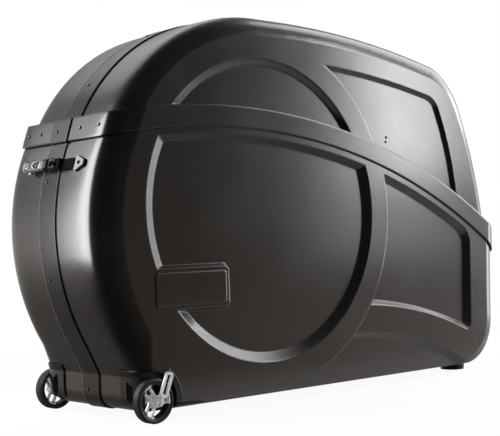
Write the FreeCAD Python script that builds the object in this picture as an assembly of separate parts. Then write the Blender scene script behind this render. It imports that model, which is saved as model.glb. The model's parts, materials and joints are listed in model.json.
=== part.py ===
"""Hard travel case for a bicycle: two moulded halves that part along the middle, on two wheels and two feet.

The case is drawn about the axis of the round wheel bulge in its side (X = 0 there, Z = 0 on the ground,
Y = 0 on the parting plane) and is moved along X at the end, so that the origin is under the middle of its box.
"""
import math
import os

import FreeCAD
import Part

V = FreeCAD.Vector

# Sheet and fits
sheet = 4.0
seat_gap = 0.3
strip_sheet = 2.5

# Lower shells: nose arc, toe, floor and rear wall at the parting plane
half_width = 190.0
nose_x = 20.0
nose_z = 410.0
nose_radius = 494.0
nose_top_angle = 134.0
nose_end_angle = 211.5
toe_x = -374.0
toe_top_z = 96.0
toe_radius = 34.0
floor_z = 20.0
rear_x = 872.0
rear_height = 450.0
rear_lean = 0.045
rear_corner_radius = 120.0
lower_close_z = 640.0

# Upper shells: bulge arc, roof arc, rear slope
bulge_z = 446.0
upper_set_back = 9.0
upper_radius = 452.0
roof_flat = 80.0
roof_radius = 2550.0
roof_end_x = 640.0
slope_top_x = 757.0
slope_top_z = 728.0
slope_mid_x = 804.0
slope_mid_z = 596.0
slope_end_x = 852.0
slope_end_z = 370.0
slope_corner_pull = 46.0
upper_close_z = 500.0
close_share = 5.0

# How far the wall rounds over between the parting plane and the side face
round_power = 14.0
round_cut = 0.97
round_sections = 15
round_samples = 2000
round_turn_weight = 60.0
nose_round = 62.0
toe_round = 22.0
floor_round = 14.0
rear_round = 48.0
roof_round = 46.0
slope_round = 42.0

# Lap band between the upper and the lower shells, an arc seen from the side
band_x = -120.0
band_z = -1100.0
band_low_radius = 1732.0
band_top_radius = 1780.0
band_nose_rise = 70.0
band_spread = 400.0

# Pressed recesses in the side faces
ring_margin = 41.0
ring_radius = upper_radius - ring_margin
ring_width = 61.0
disc_radius = ring_radius - ring_width
disc_bevel = 22.0
disc_depth = 17.0
disc_shift = 4.0
upper_disc_bevel = 14.0
upper_disc_depth = 13.0
panel_top_margin = 17.0
panel_top_radius = band_low_radius - panel_top_margin
panel_top_bevel = 13.0
rear_upper_bevel = 9.0
rear_upper_depth = 10.0
rear_upper_roof_gap = 96.0
rear_upper_slope_gap = 120.0
rear_upper_corner = 44.0
rear_upper_corner_drop = 4.0
rear_upper_low_gap = 26.0
rear_lower_bevel = 18.0
rear_lower_low_bevel = 13.0
rear_lower_ring_bevel = 7.0
rear_lower_depth = 15.0
rear_lower_gap = 127.0
corner_bulge = 0.22
rear_lower_corner = 26.0
rear_lower_low_corner = 16.0
rear_lower_lean = 9.0
rear_lower_angle = -36.2
rear_lower_drop = 97.0
arch_start = 0.7
arch_step = 6.0
arch_angle = -30.0
sill_bevel = 22.0
sill_ring_bevel = 5.0
sill_depth = 14.0
sill_high_angle = -46.3
sill_low_angle = -82.0
sill_drop = 138.0

# Bare badge plate on its pad
pad_left = -343.0
pad_right = -128.0
pad_low = 232.0
pad_high = 322.0
pad_bevel = 6.0
pad_corner = 12.0
plate_margin = 9.0
plate_sheet = 1.2
plate_corner = 6.0

# Cover strip over the parting line
strip_half = 32.0
rivet_radius = 4.0
rivet_height = 1.6
rivet_y = 12.0
rivet_start = 56.0
rivet_step = 213.0
rivet_margin = 30.0
rivet_slope = 0.55
toe_rivet_z = 60.0
band_rivets_near_y = (-74.0, -143.0)
band_rivets_far_y = (12.0, 84.0, 135.0)

# Draw latches
front_latch_angle = 163.6
roof_latch_x = 278.0
slope_latch_z = 600.0
pivot_y = -20.0
pivot_out = 13.6
pivot_radius = 2.5
pivot_clear = 0.05
toggle_reach = 12.0
ear_half = 4.0
cheek_half = 8.0
link_half = 11.2
lever_radius = 9.0
lever_end_y = 92.0
lever_start_y = -2.0
link_end_y = -89.0
link_sheet = 3.5
catch_gap = 1.2
catch_end_y = -122.0
catch_half = 19.0
catch_sheet = 3.0
catch_tip_half = 5.0
catch_corner = 4.0
catch_seat = 3.2
catch_seat_margin = 2.0
catch_root = 20.0
base_sheet = 3.0
base_half = 9.0
base_front_y = -30.0
base_back_y = 64.0
base_corner = 4.0
base_lift = 0.4
heel_half = 7.0
ear_radius = 7.0
barrel_lift = 2.0
collar_radius = 10.2
collar_width = 5.0
collar_end = 3.0
cheek_low = 5.0
cheek_high = 6.0
stub_radius = 2.2
link_low = 4.6
link_arm = 3.0
link_riser_y = -44.0
link_plate_y = -36.0
link_clear = 0.4
dial_count = 3
dial_radius = 7.6
dial_width = 4.4
dial_pitch = 6.0
dial_middle_y = 38.0
window_half_y = 14.0
window_half = 6.5
window_corner = 5.0
dial_clear = 0.4
dial_shaft_radius = 2.0
running_clear = 0.06

# Wheels
axle_x = -350.0
wheel_radius = 47.0
tyre_width = 24.0
tyre_thick = 10.0
tyre_round = 4.0
tyre_seat = 2.0
wheel_out = 1.0
wheel_y = half_width + wheel_out
well_radius = 63.0
well_rise = 8.0
well_reach = 140.0
well_depth = 18.0
well_wall_y = half_width - well_depth
bracket_sheet = 5.0
bracket_skin = 3.0
bracket_rise = 14.0
bracket_arch = 76.0
bracket_lip = 3.0
bracket_flange_in = 81.0
bracket_flange_y = half_width - bracket_flange_in
bracket_corner = 8.0
slot_half = 5.0
slot_length = 40.0
slot_in = 50.0
slot_y = half_width - slot_in
hub_radius = 13.0
hub_out = 14.0
hub_clear = 1.0
rim_lip = 3.0
rim_half = 10.0
spoke_count = 3
spoke_width = 21.0
spoke_border = 5.0
spoke_turn = -4.0
spoke_sheet = 6.0
bush_wall = 2.0
axle_radius = 6.0
axle_head = 10.0
axle_head_radius = 10.0
release_length = 64.0
release_width = 20.0
release_sheet = 5.0
release_angle = 68.0
release_pin_radius = 2.0
release_eye = 3.6
release_lift = 2.0
release_neck = 10.0
release_border = 5.5
release_corner = 7.0

# Rear feet
foot_x = 766.0
foot_in = 95.0
foot_y = half_width - foot_in
foot_root = 40.0
foot_radius = 38.0
foot_taper = 6.0

# Tow handle on the rear wall
handle_z = 235.0
handle_in = 90.0
handle_y = half_width - handle_in
handle_span = 104.0
handle_grip_radius = 9.0
handle_drop = 46.0
handle_stand = 16.0
handle_boss_radius = 11.0
handle_pin_radius = 4.0
handle_ear = 12.0
handle_arm_half = 6.0
handle_eye_radius = 9.0
handle_root = 60.0
handle_ear_top = 24.0

# Bicycle carrier inside the near half
rail_y = -62.0
rail_width = 44.0
rail_height = 26.0
rail_wall = 3.0
rail_front = -170.0
rail_back = 560.0
rail_slot = 14.0
fork_x = -110.0
fork_height = 120.0
fork_width = 100.0
fork_sheet = 14.0
fork_base = 70.0
fork_tube_radius = 11.0
fork_spigot_radius = 4.5
fork_spigot = 6.0
skewer_radius = 2.5
skewer_lever_length = 44.0
skewer_cap = 8.0
skewer_cap_radius = 9.0
rest_x = 250.0
rest_length = 90.0
rest_height = 62.0
rest_width = 60.0
rest_groove = 22.0

# Where the middle of the box lies along X, from the furthest front and rear pieces
front_reach = nose_x - nose_radius - seat_gap - strip_sheet
handle_out = rear_x + rear_lean * (handle_z - rear_height) + seat_gap + handle_stand
rear_reach = handle_out + max(handle_grip_radius, handle_boss_radius)
middle_x = 0.5 * (front_reach + rear_reach)
shift = V(-middle_x, 0, 0)


def at(x, z, y=0.0):
    """Point from a side-view position."""
    return V(x, y, z)


def on_arc(cx, cz, radius, degrees):
    """Side-view point on a circle."""
    angle = math.radians(degrees)
    return cx + radius * math.cos(angle), cz + radius * math.sin(angle)


def line(a, b, y):
    """Straight side-view edge."""
    return Part.LineSegment(at(a[0], a[1], y), at(b[0], b[1], y)).toShape()


def arc(a, mid, b, y):
    """Side-view arc through three points."""
    return Part.Arc(at(a[0], a[1], y), at(mid[0], mid[1], y), at(b[0], b[1], y)).toShape()


def round_share(step):
    """Share of the rounding reached at this share of the way to the side face, which cuts it off in a crease."""
    full = 1.0 - math.sqrt(1.0 - round_cut ** round_power)
    return (1.0 - math.sqrt(1.0 - (round_cut * step) ** round_power)) / full


def even_steps():
    """Shares of the half width from the parting plane to the side face, closer together where the wall turns."""
    steps = [i / round_samples for i in range(round_samples + 1)]
    travel = [0.0]
    last_angle = 0.0
    for low, high in zip(steps, steps[1:]):
        rise = nose_round * (round_share(high) - round_share(low))
        run = half_width * (high - low)
        angle = math.atan2(rise, run)
        travel.append(travel[-1] + math.hypot(run, rise) + round_turn_weight * abs(angle - last_angle))
        last_angle = angle
    chosen = []
    for k in range(round_sections):
        target = travel[-1] * k / (round_sections - 1)
        chosen.append(steps[min(range(len(steps)), key=lambda i: abs(travel[i] - target))])
    return chosen


round_steps = even_steps()


def nose_circle(share, inset, rise):
    """Height of the nose arc's centre and its radius: a raised centre keeps the band's low edge where it is."""
    radius = nose_radius - nose_round * share - inset
    low_edge = arcs_meet(nose_x, nose_z, radius, band_x, band_z, band_low_radius, False)
    return nose_z + rise, math.hypot(low_edge[0] - nose_x, low_edge[1] - nose_z - rise)


def rear_wall_x(z):
    """Place of the leaning rear wall at a height, on the parting plane."""
    return rear_x + rear_lean * (z - rear_height)


def lower_wire(share, inset, y, rise=0.0):
    """Closed side outline of a lower shell, rounded over by share and set in by inset."""
    centre_z, radius = nose_circle(share, inset, rise)
    toe = toe_x + toe_round * share + inset
    floor = floor_z + floor_round * share + inset
    back = rear_round * share + inset
    toe_r = toe_radius - inset
    rear_r = rear_corner_radius - inset
    top_angle = nose_top_angle - 0.1 * close_share * inset
    start = on_arc(nose_x, centre_z, radius, top_angle)
    middle = on_arc(nose_x, centre_z, radius, 0.5 * (top_angle + nose_end_angle))
    end = on_arc(nose_x, centre_z, radius, nose_end_angle)
    toe_top = (toe, toe_top_z)
    toe_low = (toe, floor + toe_r)
    toe_mid = on_arc(toe + toe_r, floor + toe_r, toe_r, 225.0)
    floor_front = (toe + toe_r, floor)
    rear_turn = math.degrees(math.atan(rear_lean))
    corner_z = floor + rear_r
    corner_x = rear_wall_x(corner_z) - back - rear_r * math.hypot(1.0, rear_lean)
    floor_back = (corner_x, floor)
    corner_mid = on_arc(corner_x, corner_z, rear_r, 0.5 * (-90.0 - rear_turn))
    rear_low = on_arc(corner_x, corner_z, rear_r, -rear_turn)
    close_z = lower_close_z + close_share * inset
    rear_top = (rear_wall_x(close_z) - back, close_z)
    edges = [
        arc(start, middle, end, y),
        line(end, toe_top, y),
        line(toe_top, toe_low, y),
        arc(toe_low, toe_mid, floor_front, y),
        line(floor_front, floor_back, y),
        arc(floor_back, corner_mid, rear_low, y),
        line(rear_low, rear_top, y),
        line(rear_top, start, y),
    ]
    return Part.Wire(edges)


def lap_wire(share, inset, y):
    """Side outline of the lap band, whose nose stands more upright than the lower shell's."""
    return lower_wire(share, inset, y, band_nose_rise)


def roof_drop(x):
    """Drop of the roof arc behind its flat stretch."""
    reach = x - roof_flat
    return roof_radius - math.sqrt(roof_radius ** 2 - reach ** 2)


def upper_wire(share, inset, y):
    """Closed side outline of an upper shell, rounded over by share and set in by inset."""
    drop = roof_round * share + inset
    back = slope_round * share + inset
    radius = upper_radius - drop
    crown = bulge_z + radius
    low_z = upper_close_z - close_share * inset
    low = (-math.sqrt(radius ** 2 - (low_z - bulge_z) ** 2), low_z)
    low_angle = math.degrees(math.atan2(low_z - bulge_z, low[0]))
    middle = on_arc(0.0, bulge_z, radius, 0.5 * (low_angle + 90.0))
    crown_front = (0.0, crown)
    crown_back = (roof_flat, crown)
    roof_mid_x = 0.5 * (roof_flat + roof_end_x)
    roof_mid = (roof_mid_x, crown - roof_drop(roof_mid_x))
    roof_end = (roof_end_x - 0.5 * back, crown - roof_drop(roof_end_x - 0.5 * back))
    slope_top = (slope_top_x - back, slope_top_z - 0.4 * drop)
    slope_mid = (slope_mid_x - back, slope_mid_z)
    slope_end = (slope_end_x - back, slope_end_z - close_share * inset)
    slope_arc = arc(slope_top, slope_mid, slope_end, y)
    roof_arc = arc(crown_back, roof_mid, roof_end, y)
    roof_way = roof_arc.tangentAt(roof_arc.LastParameter)
    slope_way = slope_arc.tangentAt(slope_arc.FirstParameter)
    corner = Part.BezierCurve()
    corner.setPoles([
        at(roof_end[0], roof_end[1], y),
        at(roof_end[0], roof_end[1], y) + roof_way * slope_corner_pull,
        at(slope_top[0], slope_top[1], y) - slope_way * slope_corner_pull,
        at(slope_top[0], slope_top[1], y),
    ])
    edges = [
        arc(low, middle, crown_front, y),
        line(crown_front, crown_back, y),
        roof_arc,
        corner.toShape(),
        slope_arc,
        line(slope_end, low, y),
    ]
    return Part.Wire(edges)


def half_body(outline, width, inset, over=False):
    """Solid half of the case from the parting plane, or from one step before it, to its far side face."""
    wires = [outline(round_share(step), inset, step * width) for step in round_steps]
    if over:
        wires.insert(0, outline(0.0, inset, -round_steps[1] * width))
    return Part.makeLoft(wires, True, False, False, 3)


def slab(wire, low_y, high_y):
    """Prism of a side outline between two widths."""
    moved = wire.copy()
    moved.translate(V(0, low_y - wire.BoundBox.YMin, 0))
    return Part.Face(moved).extrude(V(0, high_y - low_y, 0))


def band_drum(radius):
    """Everything under the lap band's arc of this radius."""
    return Part.makeCylinder(radius, 2.0 * band_spread, at(band_x, band_z, -band_spread), V(0, 1, 0))


def tapered(wire_of, depth, width, lift=0.0):
    """Recess tool that narrows from the side face into the case, for the far side."""
    top = width + 1.0
    wide = wire_of(-1.0 / depth, top + lift)
    narrow = wire_of(1.0, width - depth + lift)
    return Part.makeLoft([wide, narrow], True, True)


def disc_wire(bevel):
    """Outline of the round wheel recess, as a function of the share of its bevel."""
    def wire(share, y):
        circle = Part.Circle(at(disc_shift * share, bulge_z, y), V(0, 1, 0), disc_radius - bevel * share)
        return Part.Wire([circle.toShape()])
    return wire


def arcs_meet(ax, az, ar, bx, bz, br, upper=True):
    """Crossing of two circles, the one further along +X."""
    dx = bx - ax
    dz = bz - az
    gap = math.hypot(dx, dz)
    along = (ar ** 2 - br ** 2 + gap ** 2) / (2.0 * gap)
    aside = math.sqrt(ar ** 2 - along ** 2)
    px = ax + along * dx / gap
    pz = az + along * dz / gap
    first = (px - aside * dz / gap, pz + aside * dx / gap)
    second = (px + aside * dz / gap, pz - aside * dx / gap)
    return max(first, second) if upper else min(first, second)


def bent(a, corner, b, y):
    """Rounded corner from a to b that bulges towards the sharp corner."""
    mid_x = 0.5 * (1.0 - corner_bulge) * (a[0] + b[0]) + corner_bulge * corner[0]
    mid_z = 0.5 * (1.0 - corner_bulge) * (a[1] + b[1]) + corner_bulge * corner[1]
    return arc(a, (mid_x, mid_z), b, y)


def ring_middle(ring, a, b):
    """Point on the ring halfway between two of its points."""
    turns = [math.degrees(math.atan2(p[1] - bulge_z, p[0])) for p in (a, b)]
    return on_arc(0.0, bulge_z, ring, 0.5 * sum(turns))


def under_band(radius, x):
    """Point at x on an arc that runs along the lap band."""
    return x, band_z + math.sqrt(radius ** 2 - (x - band_x) ** 2)


def rear_upper_wire(share, y):
    """Recess of the upper shell behind the bulge ring."""
    inset = rear_upper_bevel * share
    ring = ring_radius + inset
    low_radius = band_top_radius - 3.0 * sheet
    roof = bulge_z + upper_radius - rear_upper_roof_gap - inset
    low_left = arcs_meet(0.0, bulge_z, ring, band_x, band_z, low_radius)
    left_x = math.sqrt(ring ** 2 - (roof - bulge_z) ** 2)
    top_left = (left_x, roof - roof_drop(left_x))
    right_top = (slope_top_x - rear_upper_slope_gap - inset, slope_top_z - rear_upper_corner_drop)
    bend_x = right_top[0] - rear_upper_corner
    bend = (bend_x, roof - roof_drop(bend_x))
    right_mid = (slope_mid_x - rear_upper_slope_gap - inset, slope_mid_z)
    right_low = under_band(low_radius, slope_end_x - rear_upper_slope_gap - rear_upper_low_gap - inset)
    low_mid = under_band(low_radius, 0.5 * (low_left[0] + right_low[0]))
    top_mid_x = 0.5 * (top_left[0] + bend[0])
    edges = [
        arc(low_left, ring_middle(ring, low_left, top_left), top_left, y),
        arc(top_left, (top_mid_x, roof - roof_drop(top_mid_x)), bend, y),
        bent(bend, (right_top[0], bend[1]), right_top, y),
        arc(right_top, right_mid, right_low, y),
        arc(right_low, low_mid, low_left, y),
    ]
    return Part.Wire(edges)


def rear_lower_right():
    """Rear edge of the lower recess, in front of the rear wall."""
    return rear_x - rear_lower_gap


def arch(x, top_z, drop):
    """Height of a low arch that falls from the ring by drop down to the rear edge of the lower recess."""
    start = arch_start * ring_radius
    return top_z - drop * ((x - start) / (rear_lower_right() - start)) ** 2


def arch_reach(top_z, drop, z):
    """Where a low arch comes down to a height."""
    start = arch_start * ring_radius
    return start + (rear_lower_right() - start) * math.sqrt((top_z - z) / drop)


def rear_lower_wire(share, y):
    """Recess of the lower shell behind the bulge ring."""
    ring = ring_radius + rear_lower_ring_bevel * share
    top_radius = panel_top_radius - panel_top_bevel * share
    right = rear_lower_right() - rear_lower_bevel * share
    low_z = on_arc(0.0, bulge_z, ring_radius, rear_lower_angle)[1] + rear_lower_low_bevel * share
    top_left = arcs_meet(0.0, bulge_z, ring, band_x, band_z, top_radius)
    low_left = (math.sqrt(ring ** 2 - (bulge_z - low_z) ** 2), low_z)
    bend = under_band(top_radius, right - rear_lower_corner)
    right_top = (right, under_band(top_radius, right)[1] - rear_lower_corner)
    low_right_x = right - rear_lower_lean
    low_end_x = low_right_x - rear_lower_low_corner
    low_end = (low_end_x, arch(low_end_x, low_z, rear_lower_drop))
    right_low = (low_right_x, low_end[1] + rear_lower_low_corner)
    low_mid_x = 0.5 * (low_left[0] + low_end_x)
    low_mid = (low_mid_x, arch(low_mid_x, low_z, rear_lower_drop))
    top_mid = under_band(top_radius, 0.5 * (top_left[0] + bend[0]))
    edges = [
        arc(low_left, ring_middle(ring, low_left, top_left), top_left, y),
        arc(top_left, top_mid, bend, y),
        bent(bend, (right, bend[1]), right_top, y),
        line(right_top, right_low, y),
        bent(right_low, (low_right_x, low_end[1]), low_end, y),
        arc(low_end, low_mid, low_left, y),
    ]
    return Part.Wire(edges)


def sill_wire(share, y):
    """Recess under the low arch, open at the floor edge."""
    ring = ring_radius + sill_ring_bevel * share
    high_z = on_arc(0.0, bulge_z, ring_radius, sill_high_angle)[1] - sill_bevel * share
    under_z = floor_z - 3.0 * sheet
    left_high = (math.sqrt(ring ** 2 - (bulge_z - high_z) ** 2), high_z)
    left_low = on_arc(0.0, bulge_z, ring, sill_low_angle)
    right = (arch_reach(high_z, sill_drop, under_z), under_z)
    mid_x = 0.5 * (left_high[0] + right[0])
    edges = [
        arc(left_low, ring_middle(ring, left_low, left_high), left_high, y),
        arc(left_high, (mid_x, arch(mid_x, high_z, sill_drop)), right, y),
        line(right, (left_low[0], under_z), y),
        line((left_low[0], under_z), left_low, y),
    ]
    return Part.Wire(edges)


def arch_wedge(lift):
    """Shallow step down from the ring to the low arch behind it, which fades out towards the rear."""
    right = rear_lower_right()
    under_z = floor_z - 3.0 * sheet
    low = on_arc(0.0, bulge_z, ring_radius, sill_low_angle)
    high = on_arc(0.0, bulge_z, ring_radius, arch_angle)
    outline = Part.Wire([
        arc(low, ring_middle(ring_radius, low, high), high, 0.0),
        line(high, (right, high[1]), 0.0),
        line((right, high[1]), (right, under_z), 0.0),
        line((right, under_z), (low[0], under_z), 0.0),
        line((low[0], under_z), low, 0.0),
    ])
    deep = arch_step * (right - low[0]) / (right - arch_start * ring_radius)
    region = slab(outline, half_width - deep, half_width + sheet)
    corners = [
        V(low[0], half_width - deep, under_z),
        V(right, half_width, under_z),
        V(right, half_width + sheet, under_z),
        V(low[0], half_width + sheet, under_z),
    ]
    ramp = Part.Face(Part.makePolygon(corners + corners[:1])).extrude(V(0, 0, high[1] - under_z))
    tool = region.common(ramp)
    tool.translate(V(0, lift, 0))
    return tool


def pad_wire(share, y, inset=0.0):
    """Raised badge pad, which grows towards the bottom of the recess."""
    grow = pad_bevel * share - inset
    left = pad_left - disc_bevel
    right = pad_right + grow
    low = pad_low - grow
    high = pad_high + grow
    turn_x = right - pad_corner
    edges = [
        line((left, low), (turn_x, low), y),
        arc((turn_x, low), on_arc(turn_x, low + pad_corner, pad_corner, -45.0), (right, low + pad_corner), y),
        line((right, low + pad_corner), (right, high - pad_corner), y),
        arc((right, high - pad_corner), on_arc(turn_x, high - pad_corner, pad_corner, 45.0), (turn_x, high), y),
        line((turn_x, high), (left, high), y),
        line((left, high), (left, low), y),
    ]
    return Part.Wire(edges)


def lower_recesses(with_pad, lift=0.0):
    """Recess tools of a lower shell on the far side, moved in or out by lift."""
    deep = half_width - disc_depth + lift
    slope = panel_top_bevel / disc_depth
    small = panel_top_radius - panel_top_bevel - slope * sheet
    large = panel_top_radius + slope * 4.0 * sheet
    under = Part.makeCone(small, large, disc_depth + 5.0 * sheet, at(band_x, band_z, deep - sheet), V(0, 1, 0))
    disc = tapered(disc_wire(disc_bevel), disc_depth, half_width, lift).common(under)
    if with_pad:
        disc = disc.cut(tapered(lambda share, y: pad_wire(share, y, -0.5 * lift), disc_depth, half_width, lift))
    rear = tapered(rear_lower_wire, rear_lower_depth, half_width, lift)
    sill = tapered(sill_wire, sill_depth, half_width, lift)
    return [disc, rear, sill, arch_wedge(lift)]


def wheel_well(grow):
    """Room for a wheel in the toe of a far lower shell."""
    radius = well_radius + grow
    wall = well_wall_y - grow
    drum = Part.makeCylinder(radius, well_reach, at(axle_x, wheel_radius, wall), V(0, 1, 0))
    top_z = toe_top_z + well_rise + grow
    front = box((axle_x - well_reach, axle_x), (wall, wall + well_reach), (-well_reach, top_z))
    return drum.fuse(front)


def upper_recesses(lift=0.0):
    """Recess tools of an upper shell on the far side, moved in or out by lift."""
    width = half_width - upper_set_back
    floor = band_drum(band_top_radius + lift)
    disc = tapered(disc_wire(upper_disc_bevel), upper_disc_depth, width, lift).cut(floor)
    rear = tapered(rear_upper_wire, rear_upper_depth, width, lift).cut(floor)
    return [disc, rear]


def lower_shell(with_pad):
    """Far lower shell: one formed sheet with its recesses and wheel well."""
    outer = half_body(lower_wire, half_width, 0.0)
    inner = half_body(lower_wire, half_width - sheet, sheet, True)
    for tool in lower_recesses(with_pad):
        outer = outer.cut(tool)
    for tool in lower_recesses(with_pad, -sheet):
        inner = inner.cut(tool)
    outer = outer.cut(wheel_well(0.0))
    inner = inner.cut(wheel_well(sheet))
    shell = outer.cut(inner)
    return shell.common(band_drum(band_top_radius - sheet - seat_gap))


def upper_shell():
    """Far upper shell: one formed sheet with its recesses and the band that laps the lower shell."""
    width = half_width - upper_set_back
    outer = half_body(upper_wire, width, 0.0)
    inner = half_body(upper_wire, width - sheet, sheet, True)
    for tool in upper_recesses():
        outer = outer.cut(tool)
    for tool in upper_recesses(-sheet):
        inner = inner.cut(tool)
    ledge_drum = band_drum(band_top_radius - sheet)
    top_drum = band_drum(band_top_radius)
    low_drum = band_drum(band_low_radius)
    dome = outer.cut(inner).cut(ledge_drum)
    lap_outer = half_body(lap_wire, half_width + seat_gap + sheet, -seat_gap - sheet)
    lap_inner = half_body(lap_wire, half_width + seat_gap, -seat_gap, True)
    band = lap_outer.cut(lap_inner).common(top_drum).cut(low_drum)
    ledge = lap_outer.common(top_drum).cut(ledge_drum).cut(inner)
    return dome.fuse(ledge).fuse(band).removeSplitter()


def near(shape):
    """Mirror image on the near side of the parting plane."""
    return shape.mirror(V(0, 0, 0), V(0, 1, 0))


def strip_ring(outline, gap):
    """Cover strip that follows a side outline across the parting line."""
    outer = slab(outline(0.0, -gap - strip_sheet, 0.0), -strip_half, strip_half)
    return outer.cut(slab(outline(0.0, -gap, 0.0), -strip_half - 1.0, strip_half + 1.0))


def seam_strips():
    """Upper strip, lower strip and the two tabs that carry it over the band."""
    above = band_drum(band_top_radius + seat_gap)
    below = band_drum(band_low_radius - seat_gap)
    upper = strip_ring(upper_wire, seat_gap).cut(above)
    lower = strip_ring(lower_wire, seat_gap).common(below)
    tabs = strip_ring(lap_wire, sheet + 2.0 * seat_gap)
    tabs = tabs.common(band_drum(band_top_radius)).cut(band_drum(band_low_radius))
    return upper, lower, tabs


def turned(shape, origin, out):
    """Place a piece drawn with +X outwards onto the case: origin and outward direction in the side view."""
    angle = math.degrees(math.atan2(-out[1], out[0]))
    piece = shape.copy()
    piece.rotate(V(0, 0, 0), V(0, 1, 0), angle)
    piece.translate(at(origin[0], origin[1]))
    return piece


def rivet(point, out):
    """Domed rivet head at a point, along its outward direction."""
    return Part.makeCone(rivet_radius, rivet_slope * rivet_radius, rivet_height, point, out)


def stations(outline, keep, avoid):
    """Points and outward directions of rivets at even steps along a strip, in the region keep and clear of avoid."""
    points = []
    edges = outline(0.0, -seat_gap - strip_sheet, 0.0).Edges[:-1]
    clear = base_half + 2.0 * rivet_radius
    travelled = -rivet_start
    for edge in edges:
        steps = max(2, int(edge.Length))
        for i in range(steps):
            first = edge.FirstParameter
            where = edge.valueAt(first + (edge.LastParameter - first) * i / steps)
            way = edge.tangentAt(first + (edge.LastParameter - first) * i / steps)
            if not keep.isInside(where, 0.01, True):
                continue
            travelled += edge.Length / steps
            if travelled >= 0.0:
                travelled -= rivet_step
                out = V(-way.z, 0, way.x)
                if out.dot(where - at(0.0, bulge_z)) < 0.0:
                    out = V(way.z, 0, -way.x)
                if all(where.distanceToPoint(at(*place)) > clear for place in avoid):
                    points.append((where + out * seat_gap + V(0, rivet_y, 0), out))
    return points


def nose_point(angle, lift):
    """Point and outward direction on the nose arc."""
    out = (math.cos(math.radians(angle)), math.sin(math.radians(angle)))
    return on_arc(nose_x, nose_z, nose_radius + lift, angle), out





def rear_band_z():
    """Height of the middle of the band on the rear wall."""
    radius = 0.5 * (band_low_radius + band_top_radius)
    return under_band(radius, rear_x)[1]


def wall_inset(y, width, amount):
    """How far the wall has rounded over at this distance from the parting plane."""
    return amount * round_share(min(1.0, abs(y) / width))


def wall_turn(y, width, amount):
    """Slope of the rounded wall at this distance from the parting plane."""
    ahead = wall_inset(y + rivet_radius, width, amount)
    behind = wall_inset(y - rivet_radius, width, amount)
    return 0.5 * (ahead - behind) / rivet_radius


def band_rivets(places, lift_of):
    """Rivets through the band at the nose and on the rear wall."""
    heads = []
    width = half_width + seat_gap + sheet
    middle_radius = 0.5 * (band_low_radius + band_top_radius)
    rear_z = rear_band_z()
    for y in places:
        lift = lift_of(y)
        share = round_share(min(1.0, abs(y) / width))
        centre_z, radius = nose_circle(share, -lift, band_nose_rise)
        x, z = arcs_meet(nose_x, centre_z, radius, band_x, band_z, middle_radius, False)
        nose_out = V((x - nose_x) / radius, wall_turn(y, width, nose_round), (z - centre_z) / radius)
        heads.append(rivet(V(x, y, z), nose_out))
        rear = rear_wall_x(rear_z) + lift - rear_round * share
        heads.append(rivet(V(rear, y, rear_z), V(1.0, wall_turn(y, width, rear_round), -rear_lean)))
    return Part.makeCompound(heads)


def hull_plate(points, low, high, radius):
    """Plate with rounded corners drawn across the wall: points are (Y, along the seam)."""
    edges = [
        Part.LineSegment(V(low, *points[i]), V(low, *points[(i + 1) % len(points)])).toShape()
        for i in range(len(points))
    ]
    plate = Part.Face(Part.Wire(edges)).extrude(V(high - low, 0, 0))
    upright = [e for e in plate.Edges if abs(e.tangentAt(e.FirstParameter).x) > 0.99]
    return plate.makeFillet(radius, upright)


def box(x, y, z):
    """Box from three low-high pairs."""
    return Part.makeBox(x[1] - x[0], y[1] - y[0], z[1] - z[0], V(x[0], y[0], z[0]))


def rod(radius, start, way, length):
    """Round bar."""
    return Part.makeCylinder(radius, length, start, way)


def latch_base():
    """Foot plate of a latch with the ear that carries the lever, drawn with +X outwards."""
    low = strip_sheet + 2.0 * seat_gap
    corners = [(base_front_y, -base_half), (base_back_y, -base_half), (base_back_y, base_half),
               (base_front_y, base_half)]
    plate = hull_plate(corners, low, low + base_sheet, base_corner)
    heel_start = strip_half + seat_gap + base_lift
    heel = box((seat_gap + base_lift, low), (heel_start, base_back_y), (-heel_half, heel_half))
    ear = rod(ear_radius, V(pivot_out, pivot_y, -ear_half), V(0, 0, 1), 2.0 * ear_half)
    foot = box((low, pivot_out), (pivot_y - ear_radius, pivot_y + ear_radius), (-ear_half, ear_half))
    hole = rod(pivot_radius + pivot_clear, V(pivot_out, pivot_y, -link_half), V(0, 0, 1), 2.0 * link_half)
    return plate.fuse(heel).fuse(ear).fuse(foot).cut(hole)


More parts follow.
